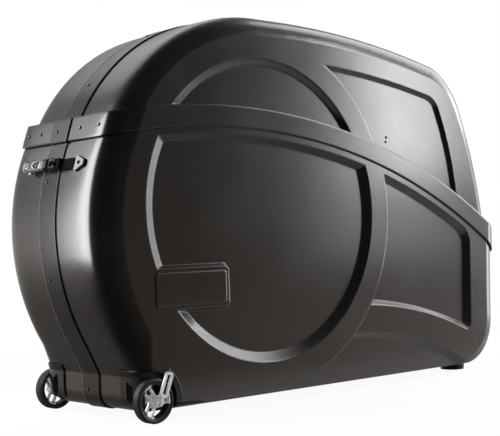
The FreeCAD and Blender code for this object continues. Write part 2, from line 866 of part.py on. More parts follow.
def latch_lever(with_dials):
    """Round lever with two cheeks on the pivot and stub pins for the link, drawn with +X outwards."""
    axis_x = pivot_out + barrel_lift
    barrel = rod(lever_radius, V(axis_x, lever_start_y, 0), V(0, 1, 0), lever_end_y - lever_start_y)
    collar_y = lever_end_y - collar_end - collar_width
    collar = rod(collar_radius, V(axis_x, collar_y, 0), V(0, 1, 0), collar_width)
    cheeks = box((pivot_out - cheek_low, pivot_out + cheek_high), (pivot_y, lever_start_y + cheek_high),
                 (-cheek_half, cheek_half))
    nose = rod(cheek_low, V(pivot_out, pivot_y, -cheek_half), V(0, 0, 1), 2.0 * cheek_half)
    gap_half = ear_half + seat_gap
    gap_y = ear_radius + cheek_low
    gap = box((pivot_out - gap_y, pivot_out + gap_y), (pivot_y - gap_y, pivot_y + gap_y), (-gap_half, gap_half))
    stub = rod(stub_radius, V(pivot_out, pivot_y + toggle_reach, -link_half), V(0, 0, 1), 2.0 * link_half)
    hole = rod(pivot_radius, V(pivot_out, pivot_y, -link_half), V(0, 0, 1), 2.0 * link_half)
    lever = cheeks.fuse(nose).cut(gap).fuse(barrel).fuse(collar).fuse(stub.cut(gap)).cut(hole)
    if with_dials:
        window_start = V(axis_x, dial_middle_y - window_half_y, 0)
        window = box((axis_x, axis_x + 2.0 * lever_radius),
                     (dial_middle_y - window_half_y, dial_middle_y + window_half_y), (-window_half, window_half))
        upright = [e for e in window.Edges if abs(e.tangentAt(e.FirstParameter).x) > 0.99]
        room = rod(dial_radius + dial_clear, window_start, V(0, 1, 0), 2.0 * window_half_y)
        shaft = rod(dial_shaft_radius, window_start, V(0, 1, 0), 2.0 * window_half_y)
        lever = lever.cut(window.makeFillet(window_corner, upright)).cut(room).fuse(shaft)
    return lever


def latch_dial(index):
    """Number ring inside the lever's window, drawn with +X outwards."""
    y = dial_middle_y + (index - 0.5 * (dial_count - 1)) * dial_pitch - 0.5 * dial_width
    start = V(pivot_out + barrel_lift, y, 0)
    ring = rod(dial_radius, start, V(0, 1, 0), dial_width)
    bore = rod(dial_shaft_radius + running_clear, start, V(0, 1, 0), dial_width)
    return ring.cut(bore)


def latch_pin():
    """Pivot pin of the lever, drawn with +X outwards."""
    return rod(pivot_radius, V(pivot_out, pivot_y, -cheek_half), V(0, 0, 1), 2.0 * cheek_half)


def latch_link():
    """Draw link with two arms beside the lever, drawn with +X outwards."""
    arm_low = cheek_half + link_clear
    stub_y = pivot_y + toggle_reach
    arms = box((pivot_out - link_arm, pivot_out + link_arm), (link_riser_y, stub_y + 1.5 * link_arm),
               (-link_half, link_half))
    riser = box((link_low, pivot_out + link_arm), (link_riser_y, link_plate_y), (-link_half, link_half))
    plate = box((link_low, link_low + link_sheet), (link_end_y, link_plate_y), (-link_half, link_half))
    room = box((0.0, 2.0 * pivot_out), (link_plate_y + 1.0, lever_end_y), (-arm_low, arm_low))
    hole = rod(stub_radius + pivot_clear, V(pivot_out, stub_y, -link_half), V(0, 0, 1), 2.0 * link_half)
    return arms.fuse(riser).fuse(plate).cut(room).cut(hole)


def latch_catch(cutter, origin, out):
    """Black seat and bright catch plate on the near shell, placed on the case and trimmed to its wall."""
    edge_y = link_end_y - catch_gap
    tip = [(edge_y, -catch_half), (edge_y, catch_half), (catch_end_y, catch_tip_half), (catch_end_y, -catch_tip_half)]
    seat_end_y = catch_end_y - catch_seat_margin
    seat_points = [(edge_y, -catch_half), (edge_y, catch_half), (seat_end_y, catch_tip_half + catch_seat_margin),
                   (seat_end_y, -catch_tip_half - catch_seat_margin)]
    seat = hull_plate(seat_points, -catch_root, catch_seat, catch_corner)
    seat = turned(seat, origin, out).cut(cutter)
    plate = turned(hull_plate(tip, catch_seat, catch_seat + catch_sheet, catch_corner), origin, out)
    return seat, plate


def hub_inner_y():
    """Inner end of a far wheel's hub, clear of the bracket."""
    return well_wall_y + seat_gap + bracket_sheet + hub_clear


def hub_bar(radius):
    """Round bar as long as a far wheel's hub."""
    length = wheel_y + hub_out - hub_inner_y()
    return rod(radius, at(axle_x, wheel_radius, hub_inner_y()), V(0, 1, 0), length)


def wheel_rim():
    """Spoked rim of a far wheel."""
    rim_radius = wheel_radius - tyre_thick
    centre = at(axle_x, wheel_radius, wheel_y)
    hoop = Part.makeCylinder(rim_radius, 2.0 * rim_half, centre - V(0, rim_half, 0), V(0, 1, 0))
    inside = Part.makeCylinder(rim_radius - rim_lip, 3.0 * rim_half, centre - V(0, 1.5 * rim_half, 0), V(0, 1, 0))
    rim = hoop.cut(inside)
    rim = rim.fuse(hub_bar(hub_radius))
    for i in range(spoke_count):
        spoke = Part.makeBox(rim_radius - 0.5 * rim_lip, spoke_sheet, spoke_width,
                             V(0, -0.5 * spoke_sheet, -0.5 * spoke_width))
        slot_half_width = 0.5 * spoke_width - spoke_border
        slot = box((hub_radius + 0.5 * spoke_border, rim_radius - rim_lip - 0.5 * spoke_border),
                   (-spoke_sheet, spoke_sheet), (-slot_half_width, slot_half_width))
        spoke = spoke.cut(slot)
        spoke.rotate(V(0, 0, 0), V(0, 1, 0), 360.0 * i / spoke_count + spoke_turn)
        spoke.translate(centre)
        rim = rim.fuse(spoke)
    return rim.cut(hub_bar(axle_radius + bush_wall)).removeSplitter()


def wheel_tyre():
    """Tyre of a far wheel, rounded over its tread."""
    inner = wheel_radius - tyre_thick
    half = 0.5 * tyre_width
    points = [(inner, -half + tyre_seat), (wheel_radius - tyre_round, -half), (wheel_radius, -half + tyre_round),
              (wheel_radius, half - tyre_round), (wheel_radius - tyre_round, half), (inner, half - tyre_seat)]
    edges = []
    for i in range(len(points)):
        a = points[i]
        b = points[(i + 1) % len(points)]
        edges.append(Part.LineSegment(V(a[0], a[1], 0), V(b[0], b[1], 0)).toShape())
    ring = Part.Face(Part.Wire(edges)).revolve(V(0, 0, 0), V(0, 1, 0), 360)
    ring.translate(at(axle_x, wheel_radius, wheel_y))
    return ring


def wheel_bush():
    """Plain bush in a far wheel's hub."""
    return hub_bar(axle_radius + bush_wall).cut(hub_bar(axle_radius + running_clear))


def axle_end_y():
    """Outer face of the axle's head."""
    return wheel_y + hub_out + seat_gap + axle_head


def wheel_axle():
    """Stub axle of a far wheel with the forked head that carries the release lever."""
    start_y = well_wall_y + seat_gap
    shaft = rod(axle_radius, at(axle_x, wheel_radius, start_y), V(0, 1, 0), axle_end_y() - axle_head - start_y)
    head = rod(axle_head_radius, at(axle_x, wheel_radius, axle_end_y() - axle_head), V(0, 1, 0), axle_head)
    turn = release_frame()
    reach = 2.0 * axle_head_radius
    half = 0.5 * release_sheet + seat_gap
    gap = box((-reach, reach), (-0.5 * axle_head - release_eye - seat_gap, reach), (-half, half))
    gap.rotate(V(0, 0, 0), V(0, 1, 0), -release_angle)
    gap.translate(turn)
    pin = rod(release_pin_radius + pivot_clear, V(0, -0.5 * axle_head, -reach), V(0, 0, 1), 2.0 * reach)
    pin.rotate(V(0, 0, 0), V(0, 1, 0), -release_angle)
    pin.translate(turn)
    return shaft.fuse(head).cut(gap).cut(pin)


def release_frame():
    """Centre of a far axle head's outer face."""
    return at(axle_x, wheel_radius, axle_end_y())


def release_lever():
    """Slotted quick release lever of a far wheel with its cross pin."""
    low = -0.5 * axle_head
    high = release_lift + release_sheet
    half = 0.5 * release_width
    eye = rod(release_eye, V(0, low, -0.5 * release_sheet), V(0, 0, 1), release_sheet)
    stem = box((0.0, release_neck + release_sheet), (low, high), (-0.5 * release_sheet, 0.5 * release_sheet))
    handle = box((release_neck, release_length), (release_lift, high), (-half, half))
    upright = [e for e in handle.Edges if abs(e.tangentAt(e.FirstParameter).y) > 0.99]
    handle = handle.makeFillet(release_corner, upright)
    slot_front = release_neck + release_sheet
    slot_half_width = half - release_border
    slot = box((slot_front, release_length - release_border), (low, 2.0 * high), (-slot_half_width, slot_half_width))
    pin_half = math.sqrt(axle_head_radius ** 2 - release_pin_radius ** 2) - seat_gap
    pin = rod(release_pin_radius, V(0, low, -pin_half), V(0, 0, 1), 2.0 * pin_half)
    stem = stem.cut(box((slot_front, 2.0 * slot_front), (release_lift, 2.0 * high), (-half, half)))
    lever = handle.cut(slot).fuse(stem).fuse(eye).fuse(pin)
    lever.rotate(V(0, 0, 0), V(0, 1, 0), -release_angle)
    lever.translate(release_frame())
    return lever


def wheel_bracket():
    """Moulded corner bracket of a far wheel: plate and lip in the well, and a skin over the toe with an arch."""
    well = wheel_well(-seat_gap)
    low_y = well_wall_y + seat_gap
    floor = floor_z + floor_round
    top = toe_top_z + bracket_rise
    skin_gap = seat_gap + bracket_skin
    outer = half_body(lower_wire, half_width + skin_gap, -skin_gap)
    inner = half_body(lower_wire, half_width + seat_gap, -seat_gap)
    wide = half_width + well_reach
    front = box((axle_x - well_reach, axle_x), (bracket_flange_y, wide), (floor, top))
    corners = [e for e in front.Edges if abs(e.tangentAt(e.FirstParameter).x) > 0.99]
    front = front.makeFillet(bracket_corner, [e for e in corners if e.CenterOfMass.y < slot_y])
    side = box((axle_x, axle_x + bracket_arch), (bracket_flange_y, wide), (floor, top))
    arch_drum = rod(bracket_arch, at(axle_x, wheel_radius, bracket_flange_y), V(0, 1, 0), wide)
    skin = outer.cut(inner).common(front.fuse(side.common(arch_drum)))
    plate_box = box((axle_x - well_reach, axle_x + well_radius), (low_y, low_y + bracket_sheet), (floor, top))
    plate = well.common(plate_box).common(outer)
    lip_radius = well_radius - seat_gap
    lip = rod(lip_radius, at(axle_x, wheel_radius, low_y), V(0, 1, 0), half_width + skin_gap - low_y)
    lip = lip.cut(rod(lip_radius - bracket_lip, at(axle_x, wheel_radius, low_y), V(0, 1, 0), well_reach))
    lip = lip.common(box((axle_x, axle_x + well_radius), (low_y, wide), (floor, top))).common(outer)
    room = rod(lip_radius - 0.5 * bracket_lip, at(axle_x, wheel_radius, low_y), V(0, 1, 0), well_reach)
    lead = box((axle_x - well_reach, axle_x), (low_y, wide), (0.0, toe_top_z + well_rise - seat_gap))
    skin = skin.cut(room).cut(lead)
    middle_z = 0.5 * (floor + toe_top_z)
    slot = box((toe_x - well_reach, toe_x + toe_round), (slot_y - slot_half, slot_y + slot_half),
               (middle_z - 0.5 * slot_length, middle_z + 0.5 * slot_length))
    ends = [e for e in slot.Edges if abs(e.tangentAt(e.FirstParameter).x) > 0.99]
    slot = slot.makeFillet(0.98 * slot_half, ends)
    seat = rod(axle_radius + pivot_clear, at(axle_x, wheel_radius, 0.0), V(0, 1, 0), wide)
    return plate.fuse(lip).fuse(skin.cut(slot)).cut(seat).removeSplitter()


def rear_foot(floor_body):
    """Low round foot under the far rear corner."""
    height = floor_z + foot_root
    cone = Part.makeCone(foot_radius - foot_taper, foot_radius, height, at(foot_x, 0.0, foot_y), V(0, 0, 1))
    return cone.cut(floor_body)


def tow_handle():
    """Folding tow handle on the rear wall, hanging down at rest."""
    y0 = handle_y - 0.5 * handle_span
    y1 = handle_y + 0.5 * handle_span
    grip = rod(handle_grip_radius, V(handle_out, y0, handle_z - handle_drop), V(0, 1, 0), handle_span)
    arms = []
    for y in (y0, y1 - handle_ear):
        arm = box((handle_out - handle_arm_half, handle_out + handle_arm_half), (y, y + handle_ear),
                  (handle_z - handle_drop, handle_z))
        eye = rod(handle_eye_radius, V(handle_out, y, handle_z), V(0, 1, 0), handle_ear)
        arms.append(arm.fuse(eye))
    handle = grip.fuse(arms)
    bore = rod(handle_pin_radius + running_clear, V(handle_out, y0, handle_z), V(0, 1, 0), handle_span)
    return handle.cut(bore)


def handle_ears(wall):
    """Two eyes with pins that carry the tow handle."""
    pieces = []
    y0 = handle_y - 0.5 * handle_span
    y1 = handle_y + 0.5 * handle_span
    for y, inner_y in ((y0 - seat_gap - handle_ear, y0), (y1 + seat_gap, y1)):
        block = box((handle_out - handle_root, handle_out), (y, y + handle_ear),
                    (handle_z - handle_boss_radius, handle_z + handle_ear_top))
        eye = rod(handle_boss_radius, V(handle_out, y, handle_z), V(0, 1, 0), handle_ear)
        inward = handle_ear - seat_gap
        pin_start = y if inner_y == y0 else y1 - inward
        pin = rod(handle_pin_radius, V(handle_out, pin_start, handle_z), V(0, 1, 0), handle_ear + inward)
        pieces.append(block.fuse(eye).fuse(pin).cut(wall))
    return Part.makeCompound(pieces)


def rail_floor_z():
    """Height of the rail's underside over the rounded floor."""
    edge = abs(rail_y) + 0.5 * rail_width
    return floor_z + sheet + wall_inset(edge, half_width - sheet, floor_round) + seat_gap


def carrier_rail():
    """Slotted aluminium rail on the floor of the near half."""
    low = rail_floor_z()
    half = 0.5 * rail_width
    bar = box((rail_front, rail_back), (rail_y - half, rail_y + half), (low, low + rail_height))
    hollow = box((rail_front - 1.0, rail_back + 1.0), (rail_y - half + rail_wall, rail_y + half - rail_wall),
                 (low + rail_wall, low + rail_height - rail_wall))
    slot = box((rail_front - 1.0, rail_back + 1.0), (rail_y - 0.5 * rail_slot, rail_y + 0.5 * rail_slot),
               (low + rail_wall, low + rail_height + 1.0))
    return bar.cut(hollow).cut(slot)


def rail_top_z():
    """Upper face of the rail."""
    return rail_floor_z() + rail_height


def fork_mount():
    """Upright with the cross tube that the fork's ends sit on."""
    low = rail_top_z()
    half = 0.5 * rail_width
    foot = box((fork_x - 0.5 * fork_base, fork_x + 0.5 * fork_base), (rail_y - half, rail_y + half),
               (low, low + fork_sheet))
    top = low + fork_height
    leg = Part.Face(Part.Wire([
        line((fork_x - 0.4 * fork_base, low + fork_sheet), (fork_x + 0.4 * fork_base, low + fork_sheet), 0.0),
        line((fork_x + 0.4 * fork_base, low + fork_sheet), (fork_x + fork_tube_radius, top), 0.0),
        line((fork_x + fork_tube_radius, top), (fork_x - fork_tube_radius, top), 0.0),
        line((fork_x - fork_tube_radius, top), (fork_x - 0.4 * fork_base, low + fork_sheet), 0.0),
    ])).extrude(V(0, fork_sheet, 0))
    leg.translate(V(0, rail_y - 0.5 * fork_sheet, 0))
    start = V(fork_x, rail_y - 0.5 * fork_width, top)
    tube = rod(fork_tube_radius, start, V(0, 1, 0), fork_width)
    spigot_start = start - V(0, fork_spigot, 0)
    spigot_length = fork_width + 2.0 * fork_spigot
    spigot = rod(fork_spigot_radius, spigot_start, V(0, 1, 0), spigot_length)
    bore = rod(skewer_radius + running_clear, spigot_start, V(0, 1, 0), spigot_length)
    return foot.fuse(leg).fuse(tube).fuse(spigot).cut(bore)


def fork_skewer():
    """Through axle with its end nut and turning lever."""
    top = rail_top_z() + fork_height
    inner = 0.5 * fork_width + fork_spigot + seat_gap
    outer = inner + skewer_cap
    shaft = rod(skewer_radius, V(fork_x, rail_y - outer, top), V(0, 1, 0), 2.0 * outer)
    nut = rod(skewer_cap_radius, V(fork_x, rail_y + inner, top), V(0, 1, 0), skewer_cap)
    cap = rod(skewer_cap_radius, V(fork_x, rail_y - outer, top), V(0, 1, 0), skewer_cap)
    arm = box((fork_x, fork_x + skewer_lever_length), (rail_y - outer, rail_y - inner - 2.0),
              (top - 0.5 * skewer_cap_radius, top + 0.5 * skewer_cap_radius))
    return shaft.fuse(nut).fuse(cap).fuse(arm)


def frame_rest():
    """Saddle block under the bicycle's bottom bracket, with its tongue in the rail's slot."""
    low = rail_top_z() + seat_gap
    block = box((rest_x - 0.5 * rest_length, rest_x + 0.5 * rest_length),
                (rail_y - 0.5 * rest_width, rail_y + 0.5 * rest_width), (low, low + rest_height))
    groove = rod(rest_groove, V(rest_x, rail_y - rest_width, low + rest_height + 6.0), V(0, 1, 0), 2.0 * rest_width)
    tongue = box((rest_x - 0.4 * rest_length, rest_x + 0.4 * rest_length),
                 (rail_y - 0.5 * rail_slot + seat_gap, rail_y + 0.5 * rail_slot - seat_gap),
                 (low - rail_wall - 3.0, low))
    return block.cut(groove).fuse(tongue)


def badge_plate():
    """Bare plate on the near side's pad."""
    y = -half_width
    low_x = pad_left + plate_margin
    wide = pad_right - plate_margin - low_x
    tall = pad_high - pad_low - 2.0 * plate_margin
    plate = Part.makeBox(wide, plate_sheet, tall, V(low_x, y - plate_sheet - seat_gap, pad_low + plate_margin))
    upright = [e for e in plate.Edges if abs(e.tangentAt(e.FirstParameter).y) > 0.99]
    return plate.makeFillet(plate_corner, upright)


def roof_point(x, lift):
    """Point and outward direction on the roof arc."""
    reach = (x - roof_flat) / roof_radius
    out = (reach, math.sqrt(1.0 - reach ** 2))
    z = bulge_z + upper_radius - roof_drop(x)
    return (x + lift * out[0], z + lift * out[1]), out


def slope_point(z):
    """Point and outward direction on the rear slope."""
    wire = upper_wire(0.0, 0.0, 0.0)
    edge = wire.Edges[4]
    best = min((edge.FirstParameter + (edge.LastParameter - edge.FirstParameter) * i / 400.0 for i in range(401)),
               key=lambda u: abs(edge.valueAt(u).z - z))
    where = edge.valueAt(best)
    way = edge.tangentAt(best)
    out = (abs(way.z), -way.x * (1.0 if way.z > 0 else -1.0))
    return (where.x, where.z), out


nodes = {}

far_lower = lower_shell(False)
far_upper = upper_shell()
nodes["far_lower_shell"] = far_lower
nodes["far_upper_shell"] = far_upper
nodes["near_lower_shell"] = near(lower_shell(True))
nodes["near_upper_shell"] = near(far_upper)

upper_strip, lower_strip, strip_tabs = seam_strips()
nodes["upper_seam_strip"] = upper_strip
nodes["lower_seam_strip"] = lower_strip
nodes["band_seam_tabs"] = strip_tabs

strip_lift = 2.0 * seat_gap + strip_sheet
lower_seat = near(half_body(lower_wire, half_width + seat_gap, -seat_gap))
upper_seat = near(half_body(upper_wire, half_width - upper_set_back + seat_gap, -seat_gap))
latch_places = {
    "front": (nose_point(front_latch_angle, 0.0), lower_seat),
    "top": (roof_point(roof_latch_x, 0.0), upper_seat),
    "rear": (slope_point(slope_latch_z), upper_seat),
}
latch_origins = [origin for (origin, out), cutter in latch_places.values()]
lower_keep = band_drum(band_low_radius - rivet_margin)
upper_keep = half_body(upper_wire, half_width, -2.0 * strip_lift, True).cut(band_drum(band_top_radius + rivet_margin))
heads = [rivet(*place) for place in stations(lower_wire, lower_keep, latch_origins)]
heads += [rivet(*place) for place in stations(upper_wire, upper_keep, latch_origins)]
heads.append(rivet(V(toe_x - strip_lift, rivet_y, toe_rivet_z), V(-1, 0, 0)))
nodes["seam_rivets"] = Part.makeCompound(heads)


def band_lift(y):
    """Height of the band's outside over the lower shell, over the tab where there is one."""
    tab = strip_sheet + seat_gap if abs(y) < strip_half else 0.0
    return sheet + 2.0 * seat_gap + tab


nodes["near_band_rivets"] = band_rivets(band_rivets_near_y, band_lift)
nodes["far_band_rivets"] = band_rivets(band_rivets_far_y, band_lift)
nodes["badge_plate"] = badge_plate()

for name, ((origin, out), cutter) in latch_places.items():
    nodes[name + "_latch_base"] = turned(latch_base(), origin, out)
    nodes[name + "_latch_lever"] = turned(latch_lever(name == "front"), origin, out)
    nodes[name + "_latch_pin"] = turned(latch_pin(), origin, out)
    nodes[name + "_latch_link"] = turned(latch_link(), origin, out)
    seat, plate = latch_catch(cutter, origin, out)
    nodes[name + "_catch_seat"] = seat
    nodes[name + "_catch_plate"] = plate
    if name == "front":
        for i in range(dial_count):
            nodes["dial_%d" % (i + 1)] = turned(latch_dial(i), origin, out)

for side, place in (("far", lambda s: s), ("near", near)):
    nodes[side + "_wheel_bracket"] = place(wheel_bracket())
    nodes[side + "_wheel_axle"] = place(wheel_axle())
    nodes[side + "_wheel_bush"] = place(wheel_bush())
    nodes[side + "_wheel_rim"] = place(wheel_rim())
    nodes[side + "_wheel_tyre"] = place(wheel_tyre())
    nodes[side + "_release_lever"] = place(release_lever())

far_seat = near(lower_seat)
foot = rear_foot(far_seat)
nodes["far_foot"] = foot
nodes["near_foot"] = near(foot)

nodes["tow_handle"] = tow_handle()
nodes["tow_handle_ears"] = handle_ears(far_seat)
nodes["carrier_rail"] = carrier_rail()
nodes["fork_mount"] = fork_mount()
nodes["fork_skewer"] = fork_skewer()
nodes["frame_rest"] = frame_rest()

os.makedirs("parts", exist_ok=True)
total = FreeCAD.BoundBox()
for name, shape in nodes.items():
    shape.translate(shift)
    total.add(shape.BoundBox)
    shape.exportStep("parts/" + name + ".step")
    print(name, len(shape.Solids), round(shape.Volume), shape.isValid())
print("box", total)
print("bulge axis x", -middle_x)
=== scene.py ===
"""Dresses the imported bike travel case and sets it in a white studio."""
import json
import math

import bmesh
import bpy
from mathutils import Matrix, Vector


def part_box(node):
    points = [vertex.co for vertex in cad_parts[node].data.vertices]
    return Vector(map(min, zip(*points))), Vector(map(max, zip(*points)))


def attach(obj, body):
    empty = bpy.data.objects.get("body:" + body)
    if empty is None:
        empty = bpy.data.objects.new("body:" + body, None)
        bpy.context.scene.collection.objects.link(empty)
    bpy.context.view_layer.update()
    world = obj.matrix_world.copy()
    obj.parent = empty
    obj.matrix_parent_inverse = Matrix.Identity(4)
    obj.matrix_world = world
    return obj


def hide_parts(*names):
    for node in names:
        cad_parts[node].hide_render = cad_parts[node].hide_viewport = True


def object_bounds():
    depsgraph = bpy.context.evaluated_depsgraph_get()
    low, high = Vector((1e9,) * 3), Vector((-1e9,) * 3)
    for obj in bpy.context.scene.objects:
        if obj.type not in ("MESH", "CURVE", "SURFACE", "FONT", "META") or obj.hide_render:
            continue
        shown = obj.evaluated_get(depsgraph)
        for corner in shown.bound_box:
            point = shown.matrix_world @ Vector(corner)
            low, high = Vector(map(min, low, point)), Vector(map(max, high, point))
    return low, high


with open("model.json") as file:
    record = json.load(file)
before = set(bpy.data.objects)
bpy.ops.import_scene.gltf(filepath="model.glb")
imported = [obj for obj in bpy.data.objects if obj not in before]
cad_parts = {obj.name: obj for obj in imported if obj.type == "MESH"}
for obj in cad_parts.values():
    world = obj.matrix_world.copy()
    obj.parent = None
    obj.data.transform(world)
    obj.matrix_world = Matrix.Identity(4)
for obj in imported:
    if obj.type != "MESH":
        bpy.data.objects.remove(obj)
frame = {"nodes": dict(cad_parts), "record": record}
CAD_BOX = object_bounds()

bl_info = {
    "name": "Bike travel case",
    "version": (1, 0, 0),
    "blender": (4, 5, 0),
    "location": "View3D > Sidebar > Bike case",
    "description": "Dresses the packed bike travel case and sets up its studio",
    "category": "Object",
}

# The camera that the photograph was solved to, in the frame of the case
PHOTO_WIDTH = 500
FOCAL_PIXELS = 1129.0
SENSOR_MM = 36.0
CAMERA_PLACE = (-1.97341, -2.098, 0.363)
CAMERA_YAW = 41.81
CAMERA_PITCH = 1.43
CAMERA_ROLL = -2.01
CAMERA_REACH = 50.0

# Ways in the frame of the case: from the near side to the far side, and up
ACROSS = Vector((0.0, 1.0, 0.0))
UPWARD = Vector((0.0, 0.0, 1.0))

# Outward way of each latch in the upright middle plane, in degrees from the tail
LATCH_ANGLES = {"front": 163.6, "top": 85.55, "rear": 16.92}
# Latch levers: their radius in CAD, their middle out from the hinge pin, and how much they slim
LEVER_RADIUS = 0.009
LEVER_OUT = 0.002
LEVER_SLIM = 0.91
# Place across the case where a lever's black hinge ends
HINGE_TO = 0.012
# Bright rims on the levers: place across the case, half length and half height
WINDOW_ALONG = 0.038
WINDOW_HALF = (0.0155, 0.0096)
BUTTON_ALONG = 0.0765
BUTTON_HALF = (0.0062, 0.0062)
# Wire of those rims: its height over its width, its sides and its steps round the oval
RIM_FLATNESS = 0.7
RIM_SIDES = 8
RIM_STEPS = 36
# Finger tab under a lever: its middle lies a share of its height below the lever
TAB_ALONG = 0.07
TAB_SIZE = (0.011, 0.005, 0.007)
TAB_BEVEL = 0.0012
TAB_DROP = 0.2
CATCH_SCREW_Y = -0.105

# Middle of the wheels, the radius at which their black hoop starts, and the bright spokes
WHEEL_RIMS = ("near_wheel_rim", "far_wheel_rim")
AXLE_PLACE = (-0.5564, 0.0, 0.047)
HOOP_FROM = 0.0335
SPOKE_TURNS = (-4.0, 116.0, 236.0)
SPOKE_HALF = 0.0105

# Painted highlight along the far edge of the seam strips, laid on as a thin lighter grey ribbon
SEAM_STRIPS = ("upper_seam_strip", "lower_seam_strip")
STRIP_EDGE_Y = 0.032
EDGE_NEAR = 0.0005
EDGE_WIDE = 0.0016
EDGE_PROUD = 0.0003
# Share of a normal that runs across the case: least on a strip's side, most on its outer face
SIDE_LEAST = 0.9
FACE_MOST = 0.5

# Painted shade in the lifting slot of each wheel bracket, a thin black sheet: its depth, half width
# and half height
SLOT_SHADE_PLACE = (-0.5836, 0.146, 0.061)
SLOT_SHADE_SIZE = (0.0004, 0.0085, 0.019)
SLOT_SHADE_RIM = 0.0012
SLOT_SHADE_ROUND = 0.98

PLUG_PLACES = ((0.2301, -0.171, 0.6307), (0.2275, -0.171, 0.619))
RIVET_BODIES = {
    "near_band_rivets": "near_half",
    "far_band_rivets": "far_half",
    "seam_rivets": "far_half",
}
# Turned outlines, as (radius, height) points in shares of the piece's radius
PIN_OUTLINE = ((1.0, -0.4), (1.0, 0.1), (0.7, 0.4), (0.0, 0.5))
SCREW_OUTLINE = ((0.0, 0.05), (0.42, 0.05), (0.45, 0.35), (0.8, 0.35), (1.0, 0.15), (1.0, -0.1))
PLUG_OUTLINE = ((1.0, -0.3), (1.0, 0.15), (0.8, 0.4), (0.45, 0.5), (0.4, 0.3), (0.0, 0.3))

# Distance under which two corners are one, in a copy of a CAD node and in a new shape
CAD_MERGE = 1e-5
NEW_MERGE = 1e-6
# Digits to which the normals of one flat face agree
NORMAL_DIGITS = 2

# Sockets of a Mix node that mixes colours
MIX_SHARE, MIX_FIRST, MIX_SECOND, MIX_RESULT = 0, 6, 7, 2
EDGE_SAMPLES = 8

WHITE = (1.0, 1.0, 1.0, 1.0)
TINY = 0.0001
# Share of a direction that runs along the view, where the backdrop starts and where it is full
BACKDROP_FROM = -0.1
BACKDROP_TO = 0.6
# Level of the backdrop from straight down (0) over the horizon (0.5) to straight up (1)
BACKDROP_STOREYS = ((0.08, 0.1), (0.32, 0.16), (0.5, 1.0), (0.6, 0.5), (0.85, 0.42))
# Level of the dim room in the same way: the far floor is a little lighter than the walls
ROOM_STOREYS = ((0.1, 0.02), (0.38, 0.1), (0.46, 0.27), (0.5, 0.12), (0.6, 0.04))
ROOM_TINT = (1.0, 0.8, 0.62, 1.0)
# Share of a direction along the view over which the room comes up, and its level behind
ROOM_FROM = -0.8
ROOM_TO = -0.2
ROOM_BEHIND = 0.15
# Floor: half its size, its height, and the distances between which it turns plain white
FLOOR_HALF = 14.0
FLOOR_Z = -0.0005
FLOOR_FADE = (0.9, 2.4)
LAMP_TINT = (0.98, 0.97, 1.0)
# Soft boxes and cards: place, point that they face, width and height, and their power
LAMPS = {
    "nose_light": ((-1.02, 0.235, 0.63), (0.0, 0.235, 0.63), (0.37, 0.76), "nose_power"),
    "side_light": ((1.975, -1.6, 1.435), (1.975, 0.0, 1.435), (0.55, 1.57), "side_power"),
    "tail_light": ((2.95, -0.45, 2.4), (0.1, 0.0, 0.4), (1.7, 2.9), "tail_power"),
    "roof_light": ((0.2, 1.6, 2.6), (0.0, 0.0, 0.6), (2.0, 1.4), "roof_power"),
    "rim_light": ((2.6, -0.8, 0.65), (-0.3, -0.17, 0.5), (1.0, 1.4), "rim_power"),
    "floor_card": ((1.45, -1.4, 0.02), (1.45, -1.4, 1.0), (1.5, 1.4), "card_power"),
    "brow_light": ((-1.06, 0.76, 1.13), (-0.64, -0.09, 0.64), (0.3, 0.5), "brow_power"),
    "low_light": ((1.84, -1.6, 0.47), (1.84, 0.0, 0.47), (0.8, 0.34), "low_power"),
    "sill_card": ((0.3, -0.39, 0.003), (0.3, -0.39, 1.0), (1.4, 0.42), "sill_power"),
}


class CaseLook(bpy.types.PropertyGroup):
    """Colours and finishes of the case."""

    shell_colour: bpy.props.FloatVectorProperty(
        name="Shell colour", description="Moulded black of the shells",
        subtype="COLOR", default=(0.0066, 0.0057, 0.005))
    shell_roughness: bpy.props.FloatProperty(
        name="Shell roughness", description="Sheen of the shells",
        default=0.23, min=0.05, max=1.0)
    grain_size: bpy.props.FloatProperty(
        name="Grain size", description="Size of the moulded grain",
        default=0.0012, unit="LENGTH")
    edge_radius: bpy.props.FloatProperty(
        name="Edge radius", description="Softness of the formed edges",
        default=0.006, unit="LENGTH")
    metal_colour: bpy.props.FloatVectorProperty(
        name="Metal colour", description="Cast silver of wheels and levers",
        subtype="COLOR", default=(0.84, 0.84, 0.845))


class TrimSizes(bpy.types.PropertyGroup):
    """Sizes of the small fittings."""

    lever_height: bpy.props.FloatProperty(
        name="Lever height", description="How much taller the latch levers are than round",
        default=1.4, min=1.0)
    bezel_wire: bpy.props.FloatProperty(
        name="Bezel wire", description="Radius of the bright rims on the levers",
        default=0.0009, unit="LENGTH")
    screw_radius: bpy.props.FloatProperty(
        name="Screw radius", description="Radius of the catch screws",
        default=0.0042, unit="LENGTH")
    pin_radius: bpy.props.FloatProperty(
        name="Rivet pin radius", description="Radius of the bright pin in a rivet",
        default=0.0014, unit="LENGTH")
    plug_radius: bpy.props.FloatProperty(
        name="Plug radius", description="Radius of the two plugs in the side",
        default=0.0034, unit="LENGTH")


